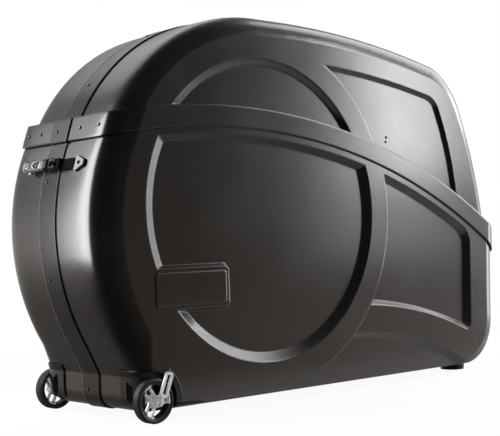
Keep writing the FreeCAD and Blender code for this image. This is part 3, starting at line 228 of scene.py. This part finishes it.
class StudioLook(bpy.types.PropertyGroup):
    """Light and ground of the studio."""

    floor_colour: bpy.props.FloatVectorProperty(
        name="Floor colour", description="Pale floor",
        subtype="COLOR", default=(0.82, 0.82, 0.82))
    floor_white: bpy.props.FloatProperty(
        name="Floor white", description="Share of plain white in the floor",
        default=0.94, min=0.0, max=1.0)
    room_level: bpy.props.FloatProperty(
        name="Room level", description="Dim side of the studio",
        default=1.0, min=0.0)
    fill_level: bpy.props.FloatProperty(
        name="Fill level", description="Even light from all round",
        default=0.6, min=0.0)
    nose_power: bpy.props.FloatProperty(
        name="Nose power", description="Tall soft box beyond the nose",
        default=8.0, unit="POWER")
    side_power: bpy.props.FloatProperty(
        name="Side power", description="Soft box that the side face mirrors",
        default=33.0, unit="POWER")
    tail_power: bpy.props.FloatProperty(
        name="Tail power", description="Large soft box beyond the tail",
        default=58.0, unit="POWER")
    roof_power: bpy.props.FloatProperty(
        name="Roof power", description="Soft box overhead",
        default=7.0, unit="POWER")
    rim_power: bpy.props.FloatProperty(
        name="Rim power", description="Soft box behind that edges the pressed forms",
        default=18.0, unit="POWER")
    card_power: bpy.props.FloatProperty(
        name="Card power", description="Bright card that lies on the floor by the side",
        default=1.6, unit="POWER")
    sill_power: bpy.props.FloatProperty(
        name="Sill power", description="Bright strip on the floor under the side",
        default=0.9, unit="POWER")
    brow_power: bpy.props.FloatProperty(
        name="Brow power", description="Small soft box above the nose",
        default=0.8, unit="POWER")
    low_power: bpy.props.FloatProperty(
        name="Low power", description="Dimmer soft box under the one that the side mirrors",
        default=1.7, unit="POWER")


class Socket:
    """Wraps a shader socket, so that maths on it adds nodes."""

    def __init__(self, graph, socket):
        self.graph = graph
        self.socket = socket

    def _math(self, operation, *values):
        return self.graph.add("ShaderNodeMath", {"operation": operation}, dict(enumerate(values)))

    def __add__(self, other):
        return self._math("ADD", self, other)

    __radd__ = __add__

    def __mul__(self, other):
        return self._math("MULTIPLY", self, other)

    __rmul__ = __mul__

    def __sub__(self, other):
        return self._math("SUBTRACT", self, other)

    def __rsub__(self, other):
        return self._math("SUBTRACT", other, self)

    def __truediv__(self, other):
        return self._math("DIVIDE", self, other)

    def __rtruediv__(self, other):
        return self._math("DIVIDE", other, self)

    def __gt__(self, other):
        return self._math("GREATER_THAN", self, other)

    def __lt__(self, other):
        return self._math("LESS_THAN", self, other)


class Graph:
    """Node tree of a material or the world."""

    def __init__(self, owner):
        owner.use_nodes = True
        self.owner = owner
        self.tree = owner.node_tree
        self.tree.nodes.clear()

    def add(self, kind, settings=None, inputs=None, output=0):
        """New node with its settings and the values or links of its sockets."""
        node = self.tree.nodes.new(kind)
        for key, value in (settings or {}).items():
            if key == "stops":
                set_stops(node.color_ramp.elements, value)
            else:
                setattr(node, key, value)
        for key, value in (inputs or {}).items():
            if isinstance(value, Socket):
                self.tree.links.new(value.socket, node.inputs[key])
            else:
                node.inputs[key].default_value = value
        return None if output is None else Socket(self, node.outputs[output])

    def output(self, kind, shader):
        """Output of the tree."""
        self.add(kind, None, {"Surface": shader}, None)

    def finish(self, inputs):
        """Principled surface with these sockets."""
        surface = self.add("ShaderNodeBsdfPrincipled", None, inputs)
        self.output("ShaderNodeOutputMaterial", surface)
        return self.owner


def set_stops(elements, stops):
    """Gives a ramp its grey (position, level) stops."""
    while len(elements) < len(stops):
        elements.new(0.5)
    for element, (position, level) in zip(elements, stops):
        element.position = position
        element.color = (level, level, level, 1.0)


def place(graph):
    """Position on the case."""
    return graph.add("ShaderNodeTexCoord", output="Object")


def noise(graph, where, cells, detail=2.0):
    """Soft noise of that many cells per metre."""
    inputs = {"Vector": where, "Scale": cells, "Detail": detail}
    return graph.add("ShaderNodeTexNoise", None, inputs)


def ramp(graph, value, stops):
    """Grey ramp of a value through (position, level) stops."""
    return graph.add("ShaderNodeValToRGB", {"stops": stops}, {0: value})


def mixed(graph, share, first, second):
    """Colour between two colours."""
    inputs = {MIX_SHARE: share, MIX_FIRST: first, MIX_SECOND: second}
    return graph.add("ShaderNodeMix", {"data_type": "RGBA"}, inputs, MIX_RESULT)


def mapped(graph, value, start, end, low=0.0, high=1.0, blend="LINEAR"):
    """Number that goes from low to high while a value goes from start to end."""
    inputs = {"Value": value, "From Min": start, "From Max": end, "To Min": low, "To Max": high}
    return graph.add("ShaderNodeMapRange", {"interpolation_type": blend}, inputs)


def vectors(graph, operation, *values, output="Vector"):
    """Vector maths on vectors."""
    settings = {"operation": operation}
    return graph.add("ShaderNodeVectorMath", settings, dict(enumerate(values)), output)


def soft_edges(graph, radius):
    """Normal with its edges rounded by a radius."""
    return graph.add("ShaderNodeBevel", {"samples": EDGE_SAMPLES}, {"Radius": radius})


def bumped(graph, height, strength, depth, normal=None):
    """Normal with small bumps on it."""
    inputs = {"Strength": strength, "Distance": depth, "Height": height}
    if normal is not None:
        inputs["Normal"] = normal
    return graph.add("ShaderNodeBump", None, inputs)


def colour(values, share=1.0):
    """Colour, lighter or darker by a share, with its alpha."""
    return (*(share * value for value in values), 1.0)


def moulded_black():
    """Formed sheet: satin black with fine grain, faint clouds and soft edges."""
    look = bpy.context.scene.case_look
    graph = Graph(bpy.data.materials.new("moulded_black"))
    where = place(graph)
    grain = noise(graph, where, cells=1.0 / look.grain_size, detail=3.0)
    pebble = noise(graph, where, cells=0.3 / look.grain_size)
    cloud = noise(graph, where, cells=6.0, detail=4.0)
    dusty = ramp(graph, cloud, ((0.35, 0.0), (0.7, 1.0)))
    tint = mixed(graph, dusty, colour(look.shell_colour), colour(look.shell_colour, 1.35))
    soft = soft_edges(graph, look.edge_radius)
    return graph.finish({
        "Base Color": tint,
        "Roughness": cloud * 0.08 + pebble * 0.07 + (look.shell_roughness - 0.075),
        "Normal": bumped(graph, grain, strength=0.11, depth=0.0003, normal=soft),
        "Specular IOR Level": 0.9,
    })


def strip_black():
    """Cover strips and brackets: a little duller than the shells, with finer grain."""
    look = bpy.context.scene.case_look
    graph = Graph(bpy.data.materials.new("strip_black"))
    where = place(graph)
    grain = noise(graph, where, cells=1.2 / look.grain_size)
    cloud = noise(graph, where, cells=9.0, detail=4.0)
    soft = soft_edges(graph, radius=0.003)
    tint = mixed(graph, cloud, colour(look.shell_colour), colour(look.shell_colour, 1.3))
    return graph.finish({
        "Base Color": tint,
        "Roughness": cloud * 0.08 + (look.shell_roughness - 0.02),
        "Normal": bumped(graph, grain, strength=0.1, depth=0.0002, normal=soft),
        "Specular IOR Level": 0.45,
    })


def cast_silver():
    """Cast light metal under a slightly clouded silver finish."""
    look = bpy.context.scene.case_look
    graph = Graph(bpy.data.materials.new("cast_silver"))
    where = place(graph)
    grain = noise(graph, where, cells=1500.0)
    cloud = noise(graph, where, cells=70.0, detail=4.0)
    soft = soft_edges(graph, radius=0.0009)
    tint = mixed(graph, cloud, colour(look.metal_colour), colour(look.metal_colour, 0.82))
    return graph.finish({
        "Base Color": tint,
        "Metallic": 0.4,
        "Roughness": cloud * 0.12 + 0.24,
        "Normal": bumped(graph, grain, strength=0.08, depth=0.0001, normal=soft),
    })


def spoked_alloy():
    """Wheel casting: bright spokes and hub inside a black hoop."""
    look = bpy.context.scene.case_look
    graph = Graph(bpy.data.materials.new("spoked_alloy"))
    where = place(graph)
    cloud = noise(graph, where, cells=70.0, detail=4.0)
    arm = vectors(graph, "SUBTRACT", vectors(graph, "MULTIPLY", where, (1.0, 0.0, 1.0)), AXLE_PLACE)
    away = vectors(graph, "LENGTH", arm, output="Value")
    hoop = mapped(graph, away, HOOP_FROM - TINY, HOOP_FROM)
    for turn_to in SPOKE_TURNS:
        along = (math.cos(math.radians(turn_to)), 0.0, -math.sin(math.radians(turn_to)))
        across = (-along[2], 0.0, along[0])
        ahead = vectors(graph, "DOT_PRODUCT", arm, along, output="Value")
        aside = vectors(graph, "DOT_PRODUCT", arm, across, output="Value")
        hoop = hoop * (1 - (ahead > 0.0) * (aside * aside < SPOKE_HALF ** 2))
    silver = mixed(graph, cloud, colour(look.metal_colour), colour(look.metal_colour, 0.85))
    return graph.finish({
        "Base Color": mixed(graph, hoop, silver, (0.012, 0.0115, 0.011, 1.0)),
        "Metallic": (1 - hoop) * 0.45,
        "Roughness": cloud * 0.12 + 0.2 + hoop * 0.25,
        "Normal": soft_edges(graph, radius=0.0012),
    })


def lever_grey():
    """Satin grey of the latch levers, black at a lever's hinge; on the seam strips' far edges the
    same grey is a painted highlight.
    """
    graph = Graph(bpy.data.materials.new("lever_grey"))
    where = place(graph)
    grain = noise(graph, where, cells=2200.0)
    cloud = noise(graph, where, cells=90.0, detail=4.0)
    along = graph.add("ShaderNodeSeparateXYZ", None, {0: where}, "Y")
    hinge = mapped(graph, along, HINGE_TO, HINGE_TO - TINY)
    grey = mixed(graph, cloud, (0.125, 0.125, 0.131, 1.0), (0.095, 0.095, 0.1, 1.0))
    soft = soft_edges(graph, radius=0.0012)
    return graph.finish({
        "Base Color": mixed(graph, hinge, grey, (0.008, 0.008, 0.008, 1.0)),
        "Metallic": (1 - hinge) * 0.15,
        "Roughness": cloud * 0.12 + 0.4,
        "Normal": bumped(graph, grain, strength=0.08, depth=0.0001, normal=soft),
        "Specular IOR Level": 0.3,
    })


def bright_plate():
    """Bright plated metal with faint clouds."""
    graph = Graph(bpy.data.materials.new("bright_plate"))
    cloud = noise(graph, place(graph), cells=80.0, detail=3.0)
    return graph.finish({
        "Base Color": mixed(graph, cloud, (0.5, 0.5, 0.51, 1.0), (0.42, 0.42, 0.43, 1.0)),
        "Metallic": 0.85,
        "Roughness": cloud * 0.12 + 0.2,
        "Normal": soft_edges(graph, radius=0.0009),
    })


def satin_plate():
    """Satin steel of the catch plates, brushed along the latch."""
    graph = Graph(bpy.data.materials.new("satin_plate"))
    brushed = vectors(graph, "MULTIPLY", place(graph), (1.0, 0.1, 1.0))
    lines = noise(graph, brushed, cells=900.0, detail=3.0)
    return graph.finish({
        "Base Color": mixed(graph, lines, (0.19, 0.19, 0.195, 1.0), (0.13, 0.13, 0.134, 1.0)),
        "Metallic": 0.5,
        "Roughness": lines * 0.15 + 0.34,
        "Normal": soft_edges(graph, radius=0.0012),
    })


def black_rubber():
    """Tyre and foot rubber, with dust in its pores."""
    graph = Graph(bpy.data.materials.new("black_rubber"))
    cloud = noise(graph, place(graph), cells=140.0, detail=4.0)
    soft = soft_edges(graph, radius=0.0015)
    return graph.finish({
        "Base Color": mixed(graph, cloud, (0.011, 0.0105, 0.01, 1.0), (0.02, 0.019, 0.018, 1.0)),
        "Roughness": cloud * 0.15 + 0.42,
        "Normal": bumped(graph, cloud, strength=0.2, depth=0.0003, normal=soft),
    })


def black_coat():
    """Dull black coat on rivets, links, screws and latch bases."""
    graph = Graph(bpy.data.materials.new("black_coat"))
    cloud = noise(graph, place(graph), cells=900.0)
    soft = soft_edges(graph, radius=0.0008)
    return graph.finish({
        "Base Color": mixed(graph, cloud, (0.002, 0.002, 0.002, 1.0), (0.004, 0.0038, 0.0036, 1.0)),
        "Roughness": cloud * 0.1 + 0.46,
        "Normal": bumped(graph, cloud, strength=0.1, depth=0.0002, normal=soft),
        "Specular IOR Level": 0.015,
    })


def dial_black():
    """Number dials: dark moulded rings with a fine pebble."""
    graph = Graph(bpy.data.materials.new("dial_black"))
    cloud = noise(graph, place(graph), cells=1200.0)
    return graph.finish({
        "Base Color": mixed(graph, cloud, (0.012, 0.012, 0.012, 1.0), (0.03, 0.03, 0.028, 1.0)),
        "Roughness": cloud * 0.1 + 0.35,
        "Normal": bumped(graph, cloud, strength=0.3, depth=0.0002),
    })


MAKERS = (moulded_black, strip_black, cast_silver, spoked_alloy, lever_grey, bright_plate,
          satin_plate, black_rubber, black_coat, dial_black)

# Finish of each material slot
FINISHES = {
    "shell_plastic": "moulded_black",
    "strip_plastic": "strip_black",
    "bracket_plastic": "strip_black",
    "handle_plastic": "moulded_black",
    "badge_plastic": "moulded_black",
    "rivet_black": "black_coat",
    "latch_black": "black_coat",
    "dial_plastic": "dial_black",
    "latch_grey": "lever_grey",
    "wheel_alloy": "cast_silver",
    "rail_alloy": "cast_silver",
    "steel": "cast_silver",
    "bush_plastic": "black_coat",
    "bright_catch": "satin_plate",
    "wheel_tyre": "black_rubber",
    "foot_rubber": "black_rubber",
    "rest_rubber": "black_rubber",
}


class CASE_OT_finishes(bpy.types.Operator):
    """Give every CAD piece its finish"""

    bl_idname = "case.finishes"
    bl_label = "Finishes"

    def execute(self, context):
        made = {maker.__name__: maker() for maker in MAKERS}
        for entry in frame["record"]["subparts"]:
            node = entry["node"]
            finish = "spoked_alloy" if node in WHEEL_RIMS else FINISHES[entry["material_slot"]]
            materials = frame["nodes"][node].data.materials
            materials.clear()
            materials.append(made[finish])
        return {"FINISHED"}


def add_piece(name, shape, body, finish, crease=0.6):
    """Object of a finished shape, which rides on a body and is sharp past a crease angle."""
    mesh = bpy.data.meshes.new(name)
    for face in shape.faces:
        face.smooth = True
    shape.to_mesh(mesh)
    shape.free()
    mesh.set_sharp_from_angle(angle=crease)
    mesh.materials.append(bpy.data.materials[finish])
    piece = bpy.data.objects.new(name, mesh)
    bpy.context.scene.collection.objects.link(piece)
    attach(piece, body)
    return piece


def copy_of(node):
    """Merged copy of a CAD node's mesh."""
    shape = bmesh.new()
    shape.from_mesh(frame["nodes"][node].data)
    bmesh.ops.remove_doubles(shape, verts=shape.verts, dist=CAD_MERGE)
    return shape


def turn(shape, outline, centre, axis, steps, closed=False):
    """Adds a turned shape: (radius, height) points carried round an axis."""
    side = axis.orthogonal().normalized()
    verts = [shape.verts.new(centre + side * radius + axis * height) for radius, height in outline]
    ends = verts[1:] + verts[:1] if closed else verts[1:]
    edges = [shape.edges.new(pair) for pair in zip(verts, ends)]
    bmesh.ops.spin(shape, geom=verts + edges, cent=centre, axis=axis, angle=math.tau,
                   steps=steps, use_merge=True)


def scaled(outline, radius):
    """Outline of a turned piece at its real size."""
    return [(radius * share, radius * height) for share, height in outline]


def close_up(shape):
    """Merges the seams of a new shape and points its faces outwards."""
    bmesh.ops.remove_doubles(shape, verts=shape.verts, dist=NEW_MERGE)
    bmesh.ops.recalc_face_normals(shape, faces=shape.faces)
    return shape


def solids_of(shape):
    """Vertices of each separate solid in a shape."""
    left = set(shape.verts)
    groups = []
    while left:
        front = [left.pop()]
        group = []
        while front:
            vert = front.pop()
            group.append(vert)
            for edge in vert.link_edges:
                other = edge.other_vert(vert)
                if other in left:
                    left.remove(other)
                    front.append(other)
        groups.append(group)
    return groups


def head_of(group):
    """Middle of a rivet's head and the way it points: away from its widest flat face."""
    areas = {}
    for face in {face for vert in group for face in vert.link_faces}:
        key = tuple(round(value, NORMAL_DIGITS) for value in face.normal)
        areas[key] = areas.get(key, 0.0) + face.calc_area()
    out = -Vector(max(areas, key=areas.get)).normalized()
    middle = sum((vert.co for vert in group), Vector()) / len(group)
    top = max((vert.co - middle).dot(out) for vert in group)
    return middle + out * top, out


class CASE_OT_rivets(bpy.types.Operator):
    """Set a bright pin in the middle of every rivet"""

    bl_idname = "case.rivets"
    bl_label = "Rivet pins"

    def execute(self, context):
        outline = scaled(PIN_OUTLINE, context.scene.trim_sizes.pin_radius)
        for node, body in RIVET_BODIES.items():
            rivets = copy_of(node)
            shape = bmesh.new()
            for group in solids_of(rivets):
                turn(shape, outline, *head_of(group), steps=12)
            rivets.free()
            add_piece(node[:-1] + "_pins", close_up(shape), body, "bright_plate")
        return {"FINISHED"}


def latch_axes(latch):
    """Middle of a latch's hinge pin, its outward way and its upward way."""
    low, high = (Vector(corner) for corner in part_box(latch + "_latch_pin"))
    turn_to = math.radians(LATCH_ANGLES[latch])
    out = Vector((math.cos(turn_to), 0.0, math.sin(turn_to)))
    return 0.5 * (low + high), out, Vector((-out.z, 0.0, out.x))


class CASE_OT_latches(bpy.types.Operator):
    """Build the taller levers with their rims and tabs, and the screws of the catches"""

    bl_idname = "case.latches"
    bl_label = "Latch trim"

    def execute(self, context):
        sizes = context.scene.trim_sizes
        for latch in LATCH_ANGLES:
            self.tall_lever(latch, sizes)
            self.lever_rim(latch, latch + "_lever_ring", BUTTON_ALONG, BUTTON_HALF, sizes)
            if latch == "front":
                self.lever_rim(latch, "front_lever_bezel", WINDOW_ALONG, WINDOW_HALF, sizes)
            self.finger_tab(latch, sizes)
            self.catch_screw(latch, sizes)
        return {"FINISHED"}

    def tall_lever(self, latch, sizes):
        """Copy of a lever's solid, taller than round, which stands for it."""
        pin, out, up = latch_axes(latch)
        shape = copy_of(latch + "_latch_lever")
        grow = Matrix.Scale(sizes.lever_height, 4, up) @ Matrix.Scale(LEVER_SLIM, 4, out)
        about_pin = Matrix.Translation(pin) @ grow @ Matrix.Translation(-pin)
        bmesh.ops.transform(shape, matrix=about_pin, verts=shape.verts)
        body = latch + "_lever"
        piece = add_piece(latch + "_lever_body", shape, body, "lever_grey")
        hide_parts(latch + "_latch_lever")

    def lever_rim(self, latch, name, along, half, sizes):
        """Bright oval rim that lies on the rounded face of a lever."""
        pin, out, up = latch_axes(latch)
        half_long, half_tall = half
        wire = sizes.bezel_wire
        corners = [math.tau * k / RIM_SIDES for k in range(RIM_SIDES)]
        ring = [(1.0 + wire / half_tall * math.cos(a), wire * math.sin(a)) for a in corners]
        shape = bmesh.new()
        turn(shape, ring, Vector(), UPWARD, steps=RIM_STEPS, closed=True)
        close_up(shape)
        high = sizes.lever_height * LEVER_RADIUS
        for vert in shape.verts:
            x, y, lift = vert.co
            round_off = math.sqrt(max(0.0, 1.0 - (half_tall * y / high) ** 2))
            rise = LEVER_SLIM * (LEVER_OUT + LEVER_RADIUS * round_off)
            vert.co = (pin + out * (rise + RIM_FLATNESS * lift)
                       + ACROSS * (along - pin.y + half_long * x) + up * (half_tall * y))
        add_piece(name, close_up(shape), latch + "_lever", "bright_plate")

    def finger_tab(self, latch, sizes):
        """Small bright tab under a lever's button."""
        pin, out, up = latch_axes(latch)
        down = up if up.z < 0.0 else -up
        shape = bmesh.new()
        bmesh.ops.create_cube(shape, size=1.0)
        bmesh.ops.scale(shape, vec=TAB_SIZE, verts=shape.verts)
        foot = [edge for edge in shape.edges if all(vert.co.z > 0.0 for vert in edge.verts)]
        bmesh.ops.bevel(shape, geom=foot, offset=TAB_BEVEL, affect="EDGES", segments=3,
                        profile=0.5, material=-1)
        axes = Matrix((ACROSS, out, down)).transposed().to_4x4()
        middle = pin + down * (sizes.lever_height * LEVER_RADIUS + TAB_DROP * TAB_SIZE[2])
        middle.y = TAB_ALONG
        bmesh.ops.transform(shape, matrix=Matrix.Translation(middle) @ axes, verts=shape.verts)
        add_piece(latch + "_lever_tab", close_up(shape), latch + "_lever",
                  "bright_plate", crease=0.4)

    def catch_screw(self, latch, sizes):
        """Socket screw that holds a catch plate."""
        _, out, _ = latch_axes(latch)
        node = latch + "_catch_plate"
        low, high = (Vector(corner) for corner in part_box(node))
        middle = 0.5 * (low + high)
        plate = frame["nodes"][node].data
        middle = middle + out * max((vert.co - middle).dot(out) for vert in plate.vertices)
        middle.y = CATCH_SCREW_Y
        shape = bmesh.new()
        turn(shape, scaled(SCREW_OUTLINE, sizes.screw_radius), middle, out, steps=32)
        add_piece(latch + "_catch_screw", close_up(shape), "near_half", "black_coat",
                  crease=0.4)


class CASE_OT_edge_highlights(bpy.types.Operator):
    """Run a painted highlight, a thin lighter grey ribbon, along the far side of the seam strips"""

    bl_idname = "case.edges"
    bl_label = "Strip edges"

    def execute(self, context):
        middle = 0.5 * (Vector(CAD_BOX[0]) + Vector(CAD_BOX[1]))
        for node in SEAM_STRIPS:
            shape = copy_of(node)
            line = [edge for edge in shape.edges if self.is_outer(edge, middle)]
            corners = {vert for edge in line for vert in edge.verts}
            outward = {vert: self.outward(vert) for vert in corners}
            for vert, out in outward.items():
                vert.co += EDGE_PROUD * out
            ends = bmesh.ops.extrude_edge_only(shape, edges=line)["geom"]
            fresh = [item for item in ends if isinstance(item, bmesh.types.BMVert)]
            bmesh.ops.translate(shape, vec=-EDGE_WIDE * ACROSS, verts=fresh)
            ribbon = {item for item in ends if isinstance(item, bmesh.types.BMFace)}
            rest = [face for face in shape.faces if face not in ribbon]
            bmesh.ops.delete(shape, geom=rest, context="FACES")
            loose = [vert for vert in shape.verts if not vert.link_faces]
            bmesh.ops.delete(shape, geom=loose, context="VERTS")
            bmesh.ops.recalc_face_normals(shape, faces=shape.faces)
            bmesh.ops.solidify(shape, geom=shape.faces[:], thickness=EDGE_PROUD)
            # The ribbon's lighter grey is a painted highlight on the strip's edge
            add_piece(node + "_edge", close_up(shape), "far_half", "lever_grey")
        return {"FINISHED"}

    def outward(self, vert):
        """Way that the outer face points at a corner of a strip."""
        faces = [face.normal for face in vert.link_faces if abs(face.normal.y) < FACE_MOST]
        return sum(faces, Vector()).normalized()

    def is_outer(self, edge, middle):
        """Whether an edge lies between a strip's far side and its outer face."""
        nearest = min(vert.co.y for vert in edge.verts)
        if len(edge.link_faces) != 2 or nearest < STRIP_EDGE_Y - EDGE_NEAR:
            return False
        side, face = sorted(edge.link_faces, key=lambda item: -item.normal.y)
        away = 0.5 * (edge.verts[0].co + edge.verts[1].co) - middle
        between = side.normal.y > SIDE_LEAST and abs(face.normal.y) < FACE_MOST
        return between and face.normal.dot(away) > 0.0


class CASE_OT_slot_shades(bpy.types.Operator):
    """Set a thin black sheet of painted shade in the lifting slot of each wheel bracket"""

    bl_idname = "case.mouths"
    bl_label = "Bracket slots"

    def execute(self, context):
        deep, half_wide, half_tall = SLOT_SHADE_SIZE
        upright = Matrix((
            (0.0, 0.0, 1.0, 0.0),
            (half_wide, 0.0, 0.0, 0.0),
            (0.0, half_tall, 0.0, 0.0),
            (0.0, 0.0, 0.0, 1.0),
        ))
        for side, sign in (("near", -1.0), ("far", 1.0)):
            shape = bmesh.new()
            bmesh.ops.create_grid(shape, x_segments=1, y_segments=1, size=1.0)
            bmesh.ops.transform(shape, matrix=upright, verts=shape.verts)
            bmesh.ops.bevel(shape, geom=shape.verts[:], offset=SLOT_SHADE_ROUND * half_wide,
                            affect="VERTICES", segments=8, profile=0.5, material=-1)
            rim = bmesh.ops.inset_region(shape, faces=shape.faces[:], thickness=SLOT_SHADE_RIM,
                                         use_boundary=True)
            floor = [face for face in shape.faces if face not in rim["faces"]]
            sunk = list({vert for face in floor for vert in face.verts})
            bmesh.ops.translate(shape, vec=(deep, 0.0, 0.0), verts=sunk)
            bmesh.ops.solidify(shape, geom=shape.faces[:], thickness=deep)
            centre = Vector((SLOT_SHADE_PLACE[0], sign * SLOT_SHADE_PLACE[1], SLOT_SHADE_PLACE[2]))
            bmesh.ops.translate(shape, vec=centre, verts=shape.verts)
            # Near-black sheet that paints the shade inside the slot
            add_piece(side + "_bracket_mouth", close_up(shape), side + "_half",
                      "black_coat", crease=0.5)
        return {"FINISHED"}


class CASE_OT_plugs(bpy.types.Operator):
    """Set the two small plugs in the near side"""

    bl_idname = "case.plugs"
    bl_label = "Side plugs"

    def execute(self, context):
        outline = scaled(PLUG_OUTLINE, context.scene.trim_sizes.plug_radius)
        shape = bmesh.new()
        for place_at in PLUG_PLACES:
            turn(shape, outline, Vector(place_at), -ACROSS, steps=24)
        add_piece("side_plugs", close_up(shape), "near_half", "black_coat",
                  crease=0.5)
        return {"FINISHED"}


def area_light(name, place_at, look_at, size, power):
    """Soft rectangular lamp that faces a point."""
    lamp = bpy.data.lights.new(name, "AREA")
    lamp.shape = "RECTANGLE"
    lamp.size, lamp.size_y = size
    lamp.energy = power
    lamp.color = LAMP_TINT
    piece = bpy.data.objects.new(name, lamp)
    piece.visible_camera = False
    piece.location = place_at
    way = Vector(look_at) - Vector(place_at)
    piece.rotation_euler = way.to_track_quat("-Z", "Y").to_euler()
    bpy.context.scene.collection.objects.link(piece)


def photo_camera():
    """Camera at the photograph's place."""
    data = bpy.data.cameras.new("photo_camera")
    data.sensor_width = SENSOR_MM
    data.lens = SENSOR_MM * FOCAL_PIXELS / PHOTO_WIDTH
    data.clip_end = CAMERA_REACH
    camera = bpy.data.objects.new("photo_camera", data)
    yaw, pitch, roll = (math.radians(a) for a in (CAMERA_YAW, CAMERA_PITCH, CAMERA_ROLL))
    flat = math.cos(pitch)
    ahead = Vector((math.sin(yaw) * flat, math.cos(yaw) * flat, math.sin(pitch)))
    right = Vector((math.cos(yaw), -math.sin(yaw), 0.0))
    up = right.cross(ahead)
    rolled_right = math.cos(roll) * right + math.sin(roll) * up
    rolled_up = math.cos(roll) * up - math.sin(roll) * right
    axes = Matrix((rolled_right, rolled_up, -ahead)).transposed().to_4x4()
    camera.matrix_world = Matrix.Translation(CAMERA_PLACE) @ axes
    bpy.context.scene.collection.objects.link(camera)
    bpy.context.scene.camera = camera


def white_paths(graph):
    """Rays that see the background straight, and those that see it in metal or glass."""
    seen = graph.add("ShaderNodeLightPath", output="Is Camera Ray")
    glossy = graph.add("ShaderNodeLightPath", output="Is Glossy Ray")
    through = graph.add("ShaderNodeLightPath", output="Is Transmission Ray")
    either = graph.add("ShaderNodeMath", {"operation": "MAXIMUM"}, {0: glossy, 1: through})
    return seen, either * (1 - seen)


def paper_floor(look):
    """Pale floor that keeps a faint shadow."""
    mesh = bpy.data.meshes.new("studio_floor")
    shape = bmesh.new()
    bmesh.ops.create_grid(shape, x_segments=1, y_segments=1, size=FLOOR_HALF)
    shape.to_mesh(mesh)
    shape.free()
    floor = bpy.data.objects.new("studio_floor", mesh)
    floor.location.z = FLOOR_Z
    floor.visible_glossy = False
    bpy.context.scene.collection.objects.link(floor)
    graph = Graph(bpy.data.materials.new("studio_paper"))
    paper = graph.add("ShaderNodeBsdfDiffuse", None, {"Color": colour(look.floor_colour)})
    white = graph.add("ShaderNodeEmission", None, {"Color": WHITE})
    seen, mirrored = white_paths(graph)
    away = vectors(graph, "LENGTH", place(graph), output="Value")
    fade = mapped(graph, away, *FLOOR_FADE, low=look.floor_white, blend="SMOOTHSTEP")
    shares = {0: (seen + mirrored) * fade, 1: paper, 2: white}
    graph.output("ShaderNodeOutputMaterial", graph.add("ShaderNodeMixShader", None, shares))
    mesh.materials.append(graph.owner)


def studio_world(look):
    """White backdrop ahead of the camera and a dim room behind it."""
    world = bpy.data.worlds.new("studio_world")
    bpy.context.scene.world = world
    graph = Graph(world)
    yaw = math.radians(CAMERA_YAW)
    ahead = (math.sin(yaw), math.cos(yaw), 0.0)
    way = graph.add("ShaderNodeTexCoord", output="Generated")
    along = vectors(graph, "DOT_PRODUCT", way, ahead, output="Value")
    height = graph.add("ShaderNodeSeparateXYZ", None, {0: way}, "Z") * 0.5 + 0.5
    backdrop = mapped(graph, along, BACKDROP_FROM, BACKDROP_TO, blend="SMOOTHSTEP")
    backdrop = backdrop * ramp(graph, height, BACKDROP_STOREYS)
    room = mapped(graph, along, ROOM_FROM, ROOM_TO, low=ROOM_BEHIND, blend="SMOOTHSTEP")
    room = room * ramp(graph, height, ROOM_STOREYS) * look.room_level
    seen, mirrored = white_paths(graph)
    white = seen + mirrored * backdrop + (1 - seen - mirrored) * look.fill_level
    level = white + mirrored * room
    tint = mixed(graph, white / (level + TINY), ROOM_TINT, WHITE)
    back = graph.add("ShaderNodeBackground", None, {"Color": tint, "Strength": level})
    graph.output("ShaderNodeOutputWorld", back)


class CASE_OT_studio(bpy.types.Operator):
    """Set up the floor, the lights and the camera"""

    bl_idname = "case.studio"
    bl_label = "Studio"

    def execute(self, context):
        look = context.scene.studio_look
        paper_floor(look)
        studio_world(look)
        for name, (place_at, look_at, size, power) in LAMPS.items():
            area_light(name, place_at, look_at, size, getattr(look, power))
        context.scene.view_settings.view_transform = "Standard"
        photo_camera()
        return {"FINISHED"}


class CASE_PT_sidebar(bpy.types.Panel):
    """Steps and sizes of the bike case"""

    bl_idname = "CASE_PT_sidebar"
    bl_label = "Bike case"
    bl_space_type = "VIEW_3D"
    bl_region_type = "UI"
    bl_category = "Bike case"

    def draw(self, context):
        scene = context.scene
        for step in STEPS:
            self.layout.operator(step.bl_idname)
        for group in (scene.case_look, scene.trim_sizes, scene.studio_look):
            for name in group.bl_rna.properties.keys():
                if name not in ("rna_type", "name"):
                    self.layout.prop(group, name)


STEPS = (CASE_OT_finishes, CASE_OT_rivets, CASE_OT_latches, CASE_OT_edge_highlights, CASE_OT_slot_shades,
         CASE_OT_plugs, CASE_OT_studio)
CLASSES = (CaseLook, TrimSizes, StudioLook, *STEPS, CASE_PT_sidebar)


def register():
    for item in CLASSES:
        bpy.utils.register_class(item)
    bpy.types.Scene.case_look = bpy.props.PointerProperty(type=CaseLook)
    bpy.types.Scene.trim_sizes = bpy.props.PointerProperty(type=TrimSizes)
    bpy.types.Scene.studio_look = bpy.props.PointerProperty(type=StudioLook)


def unregister():
    del bpy.types.Scene.studio_look
    del bpy.types.Scene.trim_sizes
    del bpy.types.Scene.case_look
    for item in reversed(CLASSES):
        bpy.utils.unregister_class(item)


def main():
    register()
    bpy.ops.case.finishes()
    bpy.ops.case.rivets()
    bpy.ops.case.latches()
    bpy.ops.case.edges()
    bpy.ops.case.mouths()
    bpy.ops.case.plugs()
    bpy.ops.case.studio()


if __name__ == "__main__":
    main()
